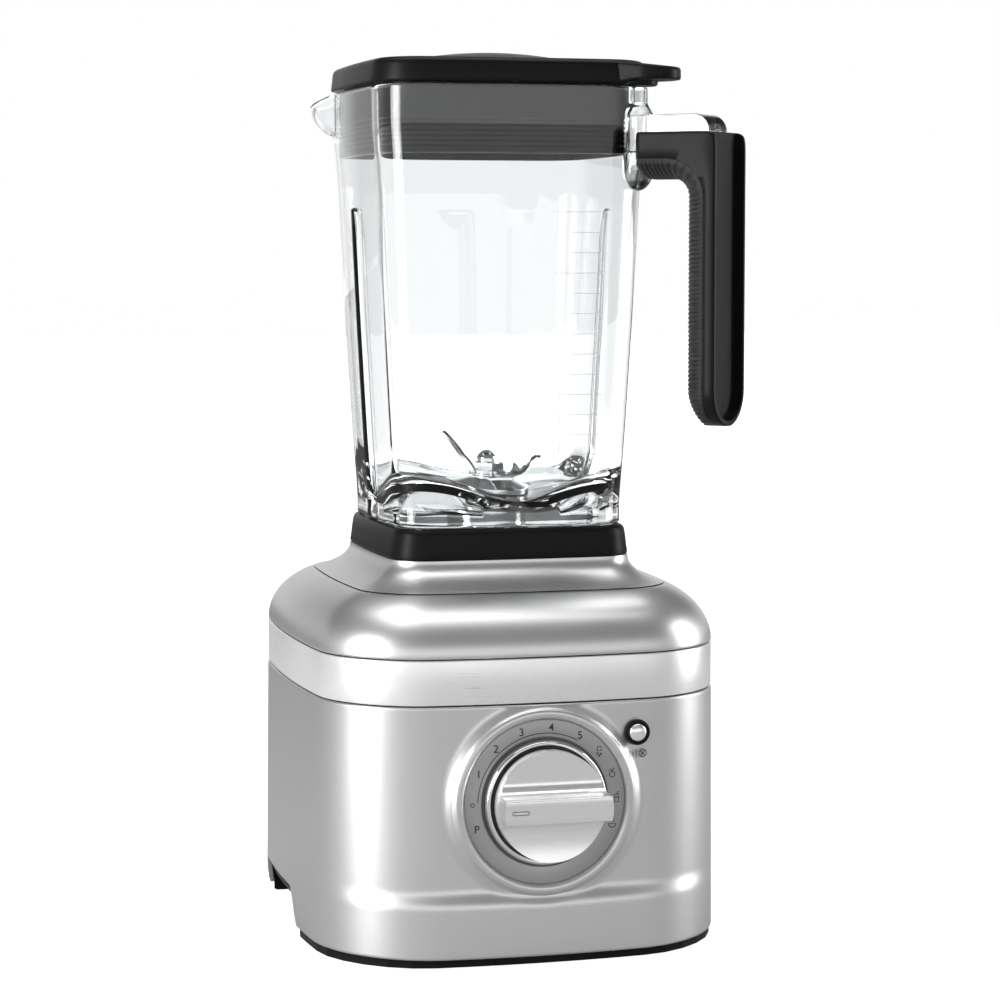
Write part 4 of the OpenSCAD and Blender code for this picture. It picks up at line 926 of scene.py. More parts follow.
def makeMarks():
    lift = 1.2 * mm
    for letter, angle in marks["letters"].items():
        a = math.radians(angle)
        at = (marks["radius"] * math.cos(a), marks["radius"] * math.sin(a))
        makeWord(letter, marks["size"], at, "mark_" + letter, dialPlace, "plate_grey", "base",
                 inkFinish, lift=lift)
    lines = [around(marks["arc"], 178, 61, 60)]
    offAt = marks["radius"] * np.array([math.cos(math.pi), math.sin(math.pi)])
    lines.append(offAt + around(0.85 * mm, 0, 360, 24))

    def sign(angle, strokes):
        a = math.radians(angle)
        middle = marks["radius"] * 1.0 * np.array([math.cos(a), math.sin(a)])
        return [middle + np.asarray(s, float) * mm for s in strokes]

    lines += sign(41, [[(-1, 0), (1, 0), (0.8, 2), (-0.8, 2), (-1, 0)], around(0.35, 0, 360, 12) + (-0.9, -1.2),
                       around(0.35, 0, 360, 12) + (0.7, -1.4), around(0.35, 0, 360, 12) + (-0.1, -2.2)])
    lines += sign(20.5, [around(1.25, 0, 360, 24) + (0, -0.7), [(0, 0.5), (0.2, 1.6), (1.1, 2.0)],
                         [(0, 0.9), (-0.9, 1.7), (-1.2, 1.0)]])
    lines += sign(0.5, [[(-1, 1.5), (1, 1.5), (0.8, -1.9), (-0.8, -1.9), (-1, 1.5)],
                        [(0.2, 1.5), (0.6, 2.6), (1.3, 2.7)], [(-0.9, 0.2), (0.9, 0.2)]])
    lines += sign(-20, [np.vstack([around(1.7, 180, 360, 16), [(-1.7, 0)]]),
                        [(-0.6, 0.8), (-0.3, 1.3), (-0.6, 1.8)], [(0.5, 0.8), (0.8, 1.3), (0.5, 1.8)]])
    points, faces = ribbon(lines, marks["stroke"], lift, dialPlace)
    lineSet = makeObject("dialLines", points, faces)
    dress(lineSet, "base", "plate_grey", material=inkFinish)


def frontSurface(x, z):
    # y of the painted front at a point: bowed face, lifted to the flat mound near the dial
    p, d = baseShape, dialShape
    y = faceY + p["bow"] * (x / p["halfWidth"]) ** 2
    near = smoothStep((d["moundOut"] - np.hypot(x, z - d["z"])) / (d["moundOut"] - d["moundIn"]))
    return y + (faceY - d["moundHeight"] - y) * near


def makeButton():
    r = 4.0 * mm
    frontAt = onFront(43.5 * mm, 103.5 * mm, -baseShape["bow"] * (43.5 / 97.3) ** 2)
    bezelIn = r + 0.05 * mm
    bezel = [[bezelIn, -6 * mm], [bezelIn + 0.9 * mm, -6 * mm], [bezelIn + 0.9 * mm, 0.3 * mm],
             [bezelIn + 1.7 * mm, 0.3 * mm], [bezelIn + 1.75 * mm, 1.0 * mm],
             [bezelIn + 1.35 * mm, 1.7 * mm], [bezelIn + 0.8 * mm, 1.8 * mm],
             [bezelIn + 0.1 * mm, 1.2 * mm], [bezelIn, 0.8 * mm]]
    dress(turnedShape("buttonRing", bezel, frontAt, steps=96), "base", "black_plastic",
          replaces=["button_bezel"])
    cap = [[0, -5 * mm], [r, -5 * mm], [r, 1.3 * mm]]
    cap += [[r * math.cos(t), 1.3 * mm + 1.9 * mm * math.sin(t)] for t in np.radians(np.linspace(8, 82, 12))]
    cap += [[0, 3.2 * mm]]
    dress(turnedShape("buttonCap", cap, frontAt, steps=96), "start", "knob_metal")
    stem = [[0, -10 * mm], [1.4 * mm, -10 * mm], [1.4 * mm, -5 * mm], [0, -5 * mm]]
    dress(turnedShape("buttonStem", stem, frontAt, steps=32), "start", "knob_metal",
          replaces=["start_button"])

    def below(q):
        x, z = 43.9 * mm + q[..., 0], 93.9 * mm + q[..., 1]
        return np.stack([x, frontSurface(x, z) - q[..., 2] - 0.25 * mm, z], axis=-1)
    lines = [np.array([(-4.4, -1.6), (-4.4, 1.6), (-1.9, 0), (-4.4, -1.6)]) * mm,
             np.array([(-0.9, -1.9), (-0.9, 1.9)]) * mm,
             around(1.75 * mm, 0, 360, 32) + (2.3 * mm, 0),
             np.array([(1.2, -1.1), (3.4, 1.1)]) * mm, np.array([(1.2, 1.1), (3.4, -1.1)]) * mm]
    points, faces = ribbon(lines, 0.36 * mm, 0.02 * mm, below)
    dress(makeObject("buttonSigns", points, faces), "base", "painted_silver", material=inkFinish)


makeDial()
makeKnobSkirt()
makeKnob()
makeMarks()
makeButton()
print("dial and button made")


# ---------- jar and collar

jarShape = {
    "foot": 55 * mm, "rim": 65.4 * mm, "wall": 3 * mm, "corner": 15 * mm, "cornerGrow": 6 * mm,
    "bow": 2.3 * mm, "fluteDepth": 3 * mm, "fluteHalf": 9.5 * mm, "fluteTop": 145 * mm,
    "fluteRound": 15 * mm, "spoutOut": 15 * mm, "spoutDrop": 20 * mm, "hole": 19.3 * mm,
    "floor": 8 * mm, "floorRise": 9 * mm, "cornerRise": 6.5 * mm, "ripple": 1.9 * mm,
    "columns": (20, 46),
}
jarZ, rimZ = jarLow[2], lidLow[2] + 30.3 * mm
rimZ = jarZ + 200 * mm


def jarHalf(z):
    # half width against height, averaged over a few millimetres so that no kink shows
    p = jarShape
    h = 200 * mm
    levels = np.array([0, 10 * mm, h * 0.2, h * 0.45, h * 0.77, h - 28 * mm, h - 20 * mm, h])
    halves = np.array([p["foot"], p["foot"], p["foot"] + 2 * mm, p["foot"] + 4.8 * mm,
                       p["foot"] + 8 * mm, p["rim"] - 1.2 * mm, p["rim"] - 0.2 * mm, p["rim"]])
    near = np.linspace(-5, 5, 9) * mm
    return np.interp(np.asarray(z)[:, None] - jarZ + near, levels, halves).mean(1)


def jarRings(z, inset):
    # flat outline at each height, with one upright flute pressed into the middle of each side:
    # depth x (1 - (s / half)^2)^2, and a lip that pushes one corner out towards the rim
    p = jarShape
    z, inset = np.asarray(z, float), np.asarray(inset, float)
    a = jarHalf(z) - inset
    r = p["corner"] + p["cornerGrow"] * (z - jarZ) / (200 * mm) - inset
    nCorner, nSide = p["columns"]
    flat = roundedRings(a, a, r, p["bow"], nCorner=nCorner, nSide=nSide, soften=2)
    x, y = flat[..., 0], flat[..., 1]
    up = (z - jarZ)[:, None]
    fade = np.clip((up - (p["fluteTop"] - p["fluteRound"])) / p["fluteRound"], 0, 1)
    depth = p["fluteDepth"] * np.clip(0.3 + up / (16 * mm), 0, 1) * np.sqrt(1 - fade ** 2)
    bump = lambda s: np.where(np.abs(s) < p["fluteHalf"], (1 - (s / p["fluteHalf"]) ** 2) ** 2, 0)
    side = np.abs(x) > np.abs(y)
    x = np.where(side, x - np.sign(x) * depth * bump(y), x)
    y = np.where(side, y, y - np.sign(y) * depth * bump(x))
    per = nCorner + nSide
    column = np.arange(4 * per)
    k = column - per
    way = np.where((k >= -3) & (k <= nCorner + 3), np.maximum(np.sin(np.pi * np.clip(k + 3, 0, nCorner + 6) / (nCorner + 6)), 0), 0.0)
    lift = np.clip((z - (rimZ - p["spoutDrop"])) / p["spoutDrop"], 0, 1)[:, None]
    out = p["spoutOut"] * np.sin(lift * math.pi / 2) ** 0.6 * way ** 0.75 / math.sqrt(2)
    return np.stack([x - out, y + out, z[:, None] - 5.5 * mm * lift * way], axis=-1)


def makeJar():
    p = jarShape
    e = 1 * mm
    turn = np.radians(np.linspace(0, 90, 5))
    outerZ = np.concatenate([jarZ + 1.5 * mm * (1 - np.sin(turn))[::-1],
                             np.linspace(jarZ + 3 * mm, jarZ + 128 * mm, 44),
                             np.linspace(jarZ + 129 * mm, jarZ + 146 * mm, 22),
                             np.linspace(jarZ + 148 * mm, rimZ - 2 * mm, 26),
                             rimZ - e * (1 - np.sin(turn))])
    outerIn = np.concatenate([1.5 * mm * (1 - np.cos(turn))[::-1] * 1.0, np.zeros(92),
                              e * (1 - np.cos(turn))])
    innerZ = np.concatenate([(rimZ - e * (1 - np.sin(turn)))[::-1],
                             np.linspace(rimZ - 2 * mm, jarZ + 148 * mm, 20),
                             np.linspace(jarZ + 146 * mm, jarZ + 129 * mm, 20),
                             np.linspace(jarZ + 127 * mm, jarZ + 34 * mm, 26)])
    innerIn = np.concatenate([(p["wall"] - e * (1 - np.cos(turn)))[::-1], np.full(66, p["wall"])])
    outer = jarRings(np.sort(outerZ), outerIn)
    inner = jarRings(innerZ, innerIn)
    edge = jarRings([jarZ + 24 * mm], [p["wall"]])[0]
    angle = np.arctan2(edge[:, 1], edge[:, 0])
    r = np.hypot(edge[:, 0], edge[:, 1])
    high = p["floorRise"] - p["cornerRise"] * np.cos(4 * angle)
    floor = []
    low = p["hole"] + 4.5 * mm
    for s in np.concatenate([np.linspace(1, 0.86, 6), np.linspace(0.8, 0, 17)]):
        w = low + (r - low) * s
        swell = s ** 2 * high + p["ripple"] * math.sin(math.pi * s) * np.cos(3 * angle)
        curl = 2.5 * mm * max(0, (s - 0.86) / 0.14) ** 3
        floor.append(np.stack([np.cos(angle) * w, np.sin(angle) * w,
                               jarZ + p["floor"] + swell + curl], 1))
    hole = [np.stack([np.cos(angle) * p["hole"], np.sin(angle) * p["hole"], 0 * angle + z], 1)
            for z in (jarZ + p["floor"] - 0.2 * mm, jarZ + p["floor"] - p["wall"])]
    below = []
    for ring in reversed(floor[5:]):
        below.append(ring - [0, 0, p["wall"]])
    skirt = jarRings([jarZ + 9 * mm, jarZ + 4 * mm, jarZ + 0.4 * mm, jarZ],
                     [p["wall"], p["wall"], p["wall"], p["wall"] - 0.4 * mm])
    rings = np.concatenate([outer, inner, np.array(floor), np.array(hole), np.array(below), skirt])
    jar = ringSkin("jarSkin", rings, loop=True, sharpAngle=60)
    dress(jar, "jar", "clear_jar", replaces=["jar"])


def makeScale():
    # faint level marks printed on the front of the jar: long lines with short ones between
    p = jarShape
    bars = []
    for k in range(13):
        z = jarZ + (33 + 9.2 * k) * mm
        x0, x1 = ((15, 40) if k % 3 == 0 else (24, 38)) if k else (15, 40)
        bars.append((x0 * mm, x1 * mm, z, 0.13 * mm))
    bars.append((19.3 * mm, 19.6 * mm, jarZ + 90 * mm, 56 * mm))
    points, faces = [], []
    for x0, x1, z, half in bars:
        x = np.linspace(x0, x1, 9)
        rows = []
        for level in np.linspace(z - half, z + half, 2 if half < mm else 24):
            a = jarHalf(np.array([level]))[0]
            y = -(a * (1 - p["bow"] / a * (x / a) ** 2)) - 0.08 * mm
            rows.append(np.stack([x, y, 0 * x + level], 1))
        grid = np.array(rows)
        n, start = grid.shape[1], sum(len(q) for q in points)
        points.append(grid.reshape(-1, 3))
        i, j = np.arange(grid.shape[0] - 1)[:, None], np.arange(n - 1)[None, :]
        quads = np.stack([i * n + j, i * n + j + 1, (i + 1) * n + j + 1, (i + 1) * n + j], -1)
        faces += (quads.reshape(-1, 4) + start).tolist()
    scale = makeObject("levelMarks", np.vstack(points), faces)
    thick = scale.modifiers.new("ink", "SOLIDIFY")
    thick.thickness, thick.offset = 0.05 * mm, 0
    dress(scale, "jar", "white_mark", material=scaleFinish)


collarShape = {"half": (57.9 * mm, 58.8 * mm), "corner": 15 * mm, "bow": 2.3 * mm,
               "seat": 40 * mm, "nut": 25.2 * mm}


def makeCollar():
    p = collarShape
    z0, z1 = collarLow[2], collarHigh[2]
    levels = [0, 0.25, 0.7, 1.2, 4, 8, 11.6, 12.3, 12.9, 13.35, 13.65, 13.85, 14]
    inset = [1.0, 0.45, 0.1, 0.0, 0.45, 1.0, 1.6, 1.85, 2.2, 2.6, 3.0, 3.6, 4.4]
    z = z0 + np.array(levels) * mm * (z1 - z0) / (14 * mm)
    inset = np.array(inset) * mm
    depth = inset * np.interp(levels, [0, 11, 14], [0.6, 0.4, 0.75])
    outer = atHeight(roundedRings(p["half"][0] - inset, p["half"][1] - depth, p["corner"] - inset,
                                  p["bow"], nCorner=24, nSide=30), z)
    flat = roundedRings([p["half"][0] - 20 * mm], [p["half"][1] - 20 * mm], [p["corner"]], 0,
                        nCorner=24, nSide=30)
    cup = roundedRings([p["seat"] + 0.4 * mm], [p["seat"] + 0.4 * mm], [12.4 * mm], 0,
                       nCorner=24, nSide=30, soften=0)
    top = atHeight(circleLike(flat, p["nut"]), [z1])
    lip = atHeight(circleLike(flat, p["nut"]), [z0 + 8 * mm])
    inner = atHeight(np.concatenate([cup, cup]), [z0 + 8 * mm, z0])
    rings = np.concatenate([outer, top, lip, inner])
    dress(ringSkin("collarSkin", rings, loop=True), "jar", "black_plastic", replaces=["jar_collar"])


makeJar()
makeScale()
makeCollar()
print("jar made")


# ---------- handle: clear arm and boss, shell with a channel, ribbed sleeve

gripShape = {
    "reach": 127 * mm, "width": 33 * mm, "deep": 18 * mm, "top": -21 * mm, "length": 132 * mm,
    "armDeep": 21 * mm, "armStart": 86 * mm, "bend": 8 * mm, "armSeam": 12 * mm,
    "legSeam": 6 * mm, "ribPitch": 2.0 * mm, "ribDepth": 0.45 * mm, "rimWidth": 2.4 * mm,
    "channel": 4.0 * mm,
}


def toCorner(p):
    # turns handle space (out along x, across y) to the jar's corner between +X and -Y
    p = np.asarray(p, float)
    c = math.cos(math.pi / 4)
    return np.stack([c * (p[..., 0] + p[..., 1]), c * (p[..., 1] - p[..., 0]), p[..., 2]], -1)


def gripPath(step):
    # stations along the grip: inner point, outward direction, depth, half width and seam depth
    g = gripShape
    top = rimZ + g["top"]
    armZ, legX, endZ = top - g["armDeep"], g["reach"] - g["deep"], top - g["length"]
    half, bend = g["width"] / 2, g["bend"]
    rows = []
    for t in np.radians(np.linspace(0, 90, 9)):
        rows.append([g["armStart"] + 4 * mm * (1 - math.cos(t)), armZ + 2.5 * mm * (1 - math.sin(t)),
                     0, 1, g["armDeep"] - 3.5 * mm * (1 - math.sin(t)),
                     half - 4.5 * mm * (1 - math.sin(t)), g["armSeam"] - 1 * mm * (1 - math.sin(t))])
    for x in np.arange(g["armStart"] + 4 * mm + step, legX - bend, step):
        rows.append([x, armZ, 0, 1, g["armDeep"], half, g["armSeam"]])
    cx, cz = legX - bend, armZ - bend
    for degrees in np.linspace(0, 90, 46):
        t = math.radians(degrees)
        s, c = math.sin(t), math.cos(t)
        toSide = (g["reach"] - cx) / max(s, 1e-9)
        toTop = (top - cz) / max(c, 1e-9)
        soft = (toSide ** -14 + toTop ** -14) ** (-1 / 14)
        seam = soft - bend - (9 + 3 * smoothStep(degrees / 90)) * mm
        rows.append([cx + bend * s, cz + bend * c, s, c, soft - bend, half, seam])
    for z in np.arange(cz - step, endZ + half, -step):
        rows.append([legX, z, 1, 0, g["deep"], half, g["legSeam"]])
    for degrees in np.linspace(0, 82, 40):
        t = math.radians(degrees)
        cut = 6 * mm * smoothStep(degrees / 82)
        rows.append([legX + cut, endZ + half * (1 - math.sin(t)), 1, 0, g["deep"] - cut,
                     half * math.cos(t), g["legSeam"]])
    return np.array(rows)


def placeSection(path, n, y):
    # n is the depth in from the outer face, y across; both are stations x section points
    out = path[:, 4:5] - n
    return toCorner(np.stack([path[:, 0:1] + path[:, 2:3] * out, y,
                              path[:, 1:2] + path[:, 3:4] * out], -1))


def makeShell():
    g = gripShape
    path = gripPath(3 * mm)
    half, seam = path[:, 5:6], path[:, 6:7]
    e = np.minimum(1.3 * mm, half / 4)
    t = np.radians(np.linspace(0, 90, 5))
    yCorner = np.concatenate([-(half - e) - e * np.cos(t), (half - e) + e * np.cos(t[::-1])], 1)
    nCorner = np.concatenate([e * (1 - np.sin(t)), e * (1 - np.sin(t[::-1]))], 1)
    mid = half * np.array([[0.0]])
    y = np.concatenate([-half + 0.25 * mm, -half, -half, yCorner[:, :5], mid, yCorner[:, 5:],
                        half, half, half - 0.25 * mm], 1)
    n = np.concatenate([seam, seam - 0.3 * mm, seam * 0.5, nCorner[:, :5], mid, nCorner[:, 5:],
                        seam * 0.5, seam - 0.3 * mm, seam], 1)
    shell = ringSkin("gripShell", placeSection(path, n, y), capped=True)
    outward(shell)
    top = rimZ + g["top"]
    inner = half.max() - g["rimWidth"]
    low = top - g["length"] + g["rimWidth"] + inner
    a = np.radians(np.linspace(180, 360, 40))
    outline = np.stack([inner * np.cos(a), low + inner * np.sin(a)], 1)
    outline = np.vstack([outline, [inner, top + 8 * mm], [-inner, top + 8 * mm]])
    start = g["reach"] - g["channel"]
    rings = np.array([[[x, y, z] for y, z in outline] for x in (start, g["reach"] + 6 * mm)])
    cutter = ringSkin("cutter", toCorner(rings), capped=True)
    outward(cutter)
    carved(shell, cutter)
    outward(shell)
    shell.data.set_sharp_from_angle(angle=math.radians(40))
    bevelled(shell, 0.5 * mm, 3, 50)
    dress(shell, "jar", "black_plastic", replaces=["grip_shell"])


def makeSleeve():
    # ribbed half round: depth and width shrink by a narrow groove every pitch along the path
    g = gripShape
    path = gripPath(0.4 * mm)
    moved = np.diff(path[:, :2], axis=0, prepend=path[:1, :2])
    length = np.cumsum(np.hypot(moved[:, 0], moved[:, 1]))[:, None]
    groove = (0.5 + 0.5 * np.cos(2 * math.pi * length / g["ribPitch"])) ** 2.2 * g["ribDepth"]
    groove[:9] *= 0.2
    half, depth, seam = path[:, 5:6] * 0.975, path[:, 4:5], path[:, 6:7]
    t = np.radians(np.linspace(90, -90, 35))[None, :]
    n = depth - (depth - seam - 2.5 * mm) * np.abs(np.sin(t)) ** 3 - groove
    y = (half - groove * np.abs(np.sin(t))) * np.sin(t)
    n = np.concatenate([seam + 0.02 * mm, n, seam + 0.02 * mm], 1)
    y = np.concatenate([half * 0.985, y, -half * 0.985], 1)
    rings = placeSection(path, n, y)
    sleeve = ringSkin("gripSleeve", rings, capped=True, sharpAngle=70)
    outward(sleeve)
    dress(sleeve, "jar", "black_rubber", material=sleeveFinish, replaces=["grip_sleeve"])


armShape = {"half": 9.5 * mm, "top": -13 * mm, "out": 121 * mm, "inside": 79 * mm, "deep": 17 * mm,
            "bend": 8 * mm, "boss": 80 * mm, "bossRadius": 7.2 * mm, "bossLow": -47 * mm}


def makeArm():
    p = armShape
    top = rimZ + p["top"]
    t = np.radians(np.linspace(0, 90, 14))
    side = [[p["inside"], top - p["deep"]], [p["out"], top - p["deep"]]]
    side += [[p["out"] - p["bend"] + p["bend"] * math.cos(k), top - p["bend"] + p["bend"] * math.sin(k)]
             for k in t]
    side += [[p["inside"], top]]
    side = np.array(side)
    rings = np.array([[[x, y, z] for x, z in side] for y in (-p["half"], p["half"])])
    arm = ringSkin("clearArm", toCorner(rings), capped=True)
    outward(arm)
    arm.data.set_sharp_from_angle(angle=math.radians(30))
    bevelled(arm, 1.4 * mm, 4, 40)
    dress(arm, "jar", "clear_jar", replaces=["handle_core"])
    r = p["bossRadius"]
    low = rimZ + p["bossLow"]
    profile = [[0, low]]
    profile += [[r * math.sin(k), low + r * 1.3 * (1 - math.cos(k))] for k in np.radians(np.linspace(12, 90, 10))]
    profile += [[r, rimZ - 13 * mm]]
    profile += [[r - 2.6 * mm * smoothStep(s), rimZ - 13 * mm + 6 * mm * s] for s in np.linspace(0.15, 1, 8)]
    profile += [[r - 2.6 * mm, rimZ - 0.9 * mm], [r - 3.2 * mm, rimZ - 0.3 * mm], [0, rimZ - 0.3 * mm]]

    def place(q):
        q = np.asarray(q, float)
        return toCorner(np.stack([q[..., 0] + p["boss"], q[..., 1], q[..., 2]], -1))
    boss = turnedShape("cornerBoss", profile, place, steps=64)
    outward(boss)
    dress(boss, "jar", "clear_jar")


makeShell()
makeSleeve()
makeArm()
print("handle made")


# ---------- lid and cap

lidShape = {"half": 65.8 * mm, "corner": 21 * mm, "bow": 2.3 * mm, "hole": 35 * mm,
            "plugGap": 0.8 * mm, "ribs": 6, "ribPitch": 2.3 * mm, "tabHalf": 13 * mm,
            "tabEnd": 100.4 * mm, "tabFrom": 60 * mm}


def lidRings(inset, corner=None):
    p = lidShape
    inset = np.asarray(inset, float)
    return roundedRings(p["half"] - inset, p["half"] - inset,
                        np.maximum((corner or p["corner"]) - inset, 3 * mm), p["bow"],
                        nCorner=28, nSide=30)


def makeLid():
    p = lidShape
    z0, z1 = lidHigh[2] - 11 * mm, lidHigh[2]
    z1 = z0 + 11 * mm
    up = [0, 0.15, 0.5, 1.0, 4, 7.6, 8.6, 9.3, 9.9, 10.4, 10.75, 10.95, 11.0]
    inset = [1.0, 0.45, 0.1, 0.0, 0.35, 0.75, 0.95, 1.3, 1.85, 2.6, 3.5, 4.6, 6.0]
    outer = atHeight(lidRings(np.array(inset) * mm), z0 + np.array(up) * mm)
    flat = lidRings([20 * mm])
    ring = lambda radius, z: atHeight(circleLike(flat, radius), [z])
    plugLow = lidLow[2]
    half = jarHalf(np.array([plugLow]))[0] - jarShape["wall"] - p["plugGap"]
    plugCorner = jarShape["corner"] + jarShape["cornerGrow"] * 0.85 - jarShape["wall"] - p["plugGap"]
    levels = np.concatenate([[0, 0.15, 0.5, 1.0], np.linspace(1.5, 17.5, 81), [22, z0 / mm - plugLow / mm]])
    cut = np.concatenate([[1.0, 0.45, 0.12, 0], np.zeros(81), [0, 0]])
    wave = (0.5 - 0.5 * np.cos(2 * math.pi * (levels - 2.4) / (p["ribPitch"] / mm))) ** 2
    cut = cut + np.where((levels > 2.4) & (levels < 16.2), 0.45 * wave, 0)
    plug = atHeight(roundedRings(half - cut * mm, half - cut * mm, plugCorner - cut * mm, p["bow"],
                                 nCorner=28, nSide=30), plugLow + levels * mm)
    inner = atHeight(roundedRings([half - 3 * mm] * 2, [half - 3 * mm] * 2, [plugCorner - 3 * mm] * 2,
                                  p["bow"], nCorner=28, nSide=30), [z0 + 1 * mm, plugLow])
    rings = np.concatenate([outer, ring(p["hole"] + 0.8 * mm, z1), ring(p["hole"], z1 - 0.8 * mm),
                            ring(p["hole"], z0 + 1 * mm), inner, plug])
    lid = ringSkin("lidSkin", rings, loop=True)
    dress(lid, "lid", "black_plastic", replaces=["lid", "lid_seal"])


def makeTab():
    # tab outline is a straight bar with a half round end; its top slopes down along the bar
    p = lidShape
    z0 = lidHigh[2] - 11 * mm
    h = p["tabHalf"]
    a = np.radians(np.linspace(-90, 90, 40))
    outline = np.stack([p["tabEnd"] - h + h * np.cos(a), h * np.sin(a)], 1)
    xs = np.linspace(p["tabEnd"] - h, p["tabFrom"], 14)[1:]
    outline = np.vstack([outline, np.stack([xs, 0 * xs + h], 1), np.stack([xs[::-1], 0 * xs - h], 1)])
    middle = np.array([p["tabEnd"] - h, 0])
    rings = []
    for inset, level, onTop in ((1.2, 0, 0), (0.5, 0.1, 0), (0.1, 0.5, 0), (0, 1.2, 0), (0, -1.6, 1),
                                (0.15, -0.9, 1), (0.6, -0.35, 1), (1.3, -0.08, 1), (2.4, 0, 1)):
        q = outline.copy()
        near = np.clip((q[:, 0] - p["tabFrom"] - 4 * mm) / (10 * mm), 0, 1)
        shrink = inset * mm / h
        q[:, 1] *= 1 - shrink
        past = q[:, 0] > middle[0]
        q[past, 0] = middle[0] + (q[past, 0] - middle[0]) * (1 - shrink)
        topZ = np.interp(q[:, 0], [0.06, 0.080, 0.0985, 0.1015],
                         np.array([10.6, 9.7, 7.5, 6.7]) * mm)
        lowZ = np.interp(q[:, 0], [0.06, 0.078, 0.084, 0.102], np.array([0.4, 0.4, 1.5, 1.7]) * mm)
        z = z0 + (topZ + level * mm if onTop else lowZ + level * mm)
        rings.append(np.c_[q, z])
    tab = ringSkin("lidTab", toCorner(np.array(rings)), capped=True)
    outward(tab)
    dress(tab, "lid", "black_plastic")
    r = 9.5 * mm
    profile = [[0, z0 - 0.9 * mm], [r - 0.8 * mm, z0 - 0.9 * mm], [r, z0 - 0.3 * mm],
               [r + 0.4 * mm, z0 + 3 * mm], [0, z0 + 3 * mm]]

    def place(q):
        q = np.asarray(q, float)
        return toCorner(np.stack([q[..., 0] + 79.5 * mm, q[..., 1], q[..., 2]], -1))
    boss = turnedShape("tabBoss", profile, place, steps=72)
    outward(boss)
    dress(boss, "lid", "black_plastic")


def makeCap():
    z0, z1 = lidHigh[2], capHigh[2]
    r = lidShape["hole"] + 4.5 * mm
    rise = z1 - z0 - 1.6 * mm
    top = [[(r - 1.2 * mm) * s, z0 + 1.6 * mm + rise * (1 - s ** 2)] for s in np.linspace(1, 0, 20)]
    low = capLow[2]
    profile = [[0, z0 - 1 * mm], [r - 8.5 * mm, z0 - 3 * mm], [r - 7.6 * mm, low], [r - 5.4 * mm, low],
               [r - 5.2 * mm, low + 0.5 * mm], [r - 5.2 * mm, z0 + 0.06 * mm], [r - 0.4 * mm, z0 + 0.06 * mm],
               [r, z0 + 0.5 * mm], [r, z0 + 1.0 * mm], [r - 0.4 * mm, z0 + 1.45 * mm]] + top
    cap = turnedShape("capSkin", profile, steps=160)
    dress(cap, "cap", "black_plastic", replaces=["centre_cap"])


makeLid()
makeTab()
makeCap()
print("lid made")


# ---------- blades and nut

bladeShape = {"z": 207.5 * mm, "thick": 1.5 * mm, "hub": 9.5 * mm}


def plateGrid(name, base, tip, rows=14, bend=0.0):
    # a plate between a lower line and an upper line of points, curved outwards by bend
    base, tip = np.asarray(base, float) * mm, np.asarray(tip, float) * mm
    u = np.linspace(0, 1, rows)[:, None, None]
    grid = base * (1 - u) + tip * u
    middle = np.array([0, 0, 0.0])
    away = grid[..., :2] / np.maximum(np.linalg.norm(grid[..., :2], axis=-1, keepdims=True), 1e-9)
    grid[..., :2] += away * bend * mm * np.sin(u * math.pi)
    n = grid.shape[1]
    i, j = np.arange(rows - 1)[:, None], np.arange(n - 1)[None, :]
    quads = np.stack([i * n + j, i * n + j + 1, (i + 1) * n + j + 1, (i + 1) * n + j], -1).reshape(-1, 4)
    plate = makeObject(name, grid.reshape(-1, 3), quads.tolist())
    thick = plate.modifiers.new("thickness", "SOLIDIFY")
    thick.thickness, thick.offset = bladeShape["thick"], 0
    bevelled(plate, 0.3 * mm, 2, 50)
    return plate


def resampled(points, count):
    # the same broken line resampled evenly by index
    points = np.asarray(points, float)
    t = np.linspace(0, len(points) - 1, count)
    return np.stack([np.interp(t, np.arange(len(points)), points[:, k]) for k in range(3)], 1)


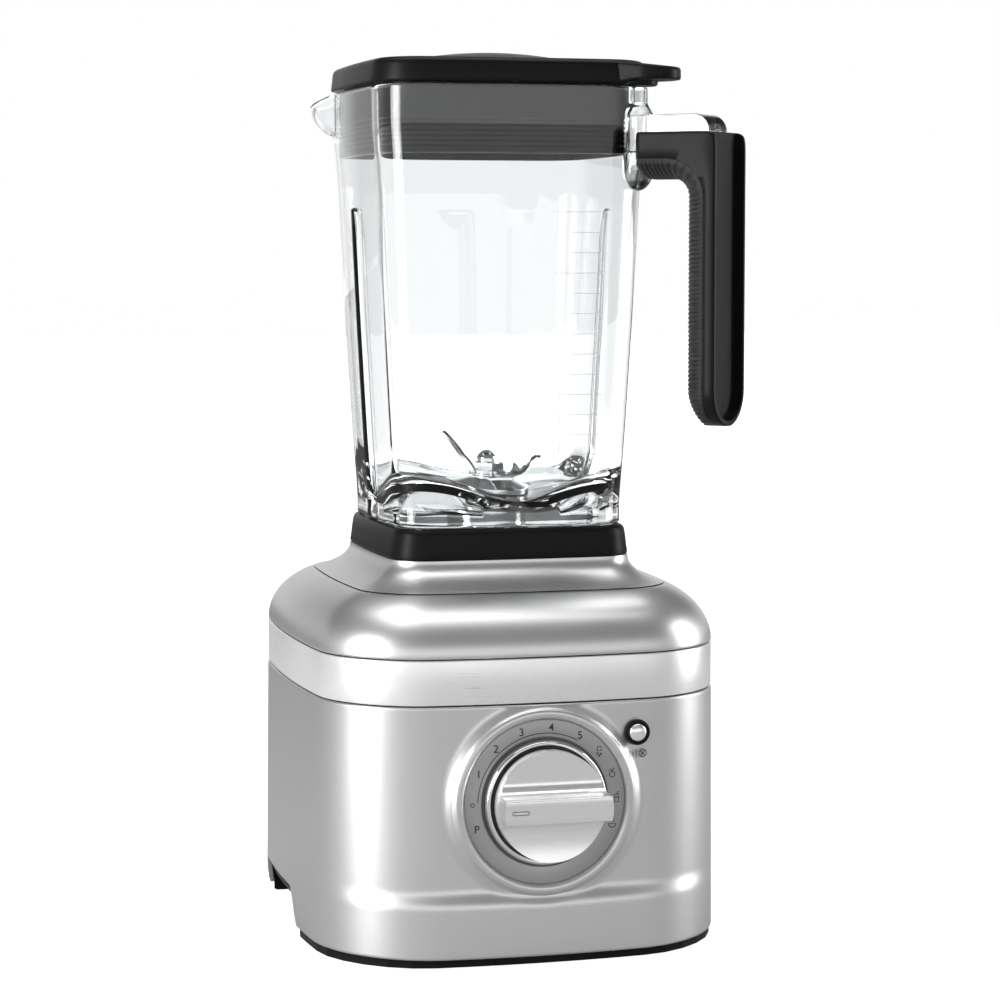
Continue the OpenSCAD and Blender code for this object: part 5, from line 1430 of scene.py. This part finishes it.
def makeBlades():
    # both tall wings and the low wings leave a flat hub; each is a curved plate with a drawn edge
    z = (bladeShape["z"] - 0) / mm
    tall = plateGrid("tallTine", resampled([(-7, -3.5, z + 1.7), (-9, 3.6, z + 1.7)], 12),
                     resampled([(-19.0, 4.6, z + 25), (-19.9, 5.6, z + 25.4)], 12), rows=20, bend=-2.6)
    dress(tall, "blades", "blade_steel")
    # the fork wing takes the darker copy of the blade steel: painted shade on that wing
    fork = plateGrid("forkTine", resampled([(6, -8, z + 1.2), (9.5, -5.5, z + 1.6), (12, 2, z + 2)], 29),
                     resampled([(9.6, -9.5, z + 10.5), (13.2, -8.6, z + 6.6), (16.6, -8, z + 8.8),
                            (19.5, -7.4, z + 7.6), (25.6, -5.4, z + 14)], 29), rows=12, bend=1.5)
    dress(fork, "blades", "blade_steel", material=forkShadedSteelFinish)
    low = plateGrid("lowTine", resampled([(-3.5, -7.5, z - 0.2), (3.5, -8.5, z - 0.2)], 12),
                    resampled([(4.5, -25.5, z + 3.2), (6.2, -25.9, z + 3.2)], 12), rows=18, bend=0)
    dress(low, "blades", "blade_steel")
    back = plateGrid("rearTine", resampled([(3.5, 7.5, z), (-3.5, 8.5, z)], 12),
                     resampled([(-4.6, 25.2, z + 5.4), (-6.2, 25.4, z + 5.4)], 12), rows=18, bend=0)
    dress(back, "blades", "blade_steel")
    for name, low, high, node in (("lowerHub", 0.0, 1.55, "lower_blade"), ("upperHub", 1.62, 3.2, "upper_blade")):
        profile = [[4.02, low], [8.6, low], [9.1, low + 0.3], [9.1, high - 0.3], [8.7, high], [4.02, high]]
        hub = turnedShape(name, np.array(profile) * mm + [0, bladeShape["z"]], steps=64)
        dress(hub, "blades", "blade_steel", replaces=[node])


def makeNut():
    # hexagon blends into a dome: radius is the smaller of the hexagon's and the profile's
    low, high = span("acorn_nut")
    z0, z1 = low[2], high[2]
    steps = 96
    angle = np.linspace(0, 2 * math.pi, steps, endpoint=False)
    six = (angle + math.pi / 6) % (math.pi / 3) - math.pi / 6
    hexagon = 6.55 * mm / np.cos(six)
    rows = []
    for up, radius in ((0, 6.8), (0.3, 7.5), (0.8, 7.9), (4.6, 7.9), (5.1, 7.4), (5.5, 6.6), (5.8, 5.4)):
        r = np.minimum(hexagon, radius * mm)
        rows.append(np.stack([r * np.cos(angle), r * np.sin(angle), 0 * angle + z0 + up * mm], 1))
    dome = z1 - z0 - 6.6 * mm
    for t in np.radians(np.linspace(0, 84, 12)):
        r = 5.25 * mm * math.cos(t)
        rows.append(np.stack([r * np.cos(angle), r * np.sin(angle),
                              0 * angle + z1 - dome + dome * math.sin(t)], 1))
    nut = ringSkin("nutSkin", np.array(rows), capped=True)
    dress(nut, "blades", "blade_steel", replaces=["acorn_nut"])


makeBlades()
makeNut()
print("blades made")
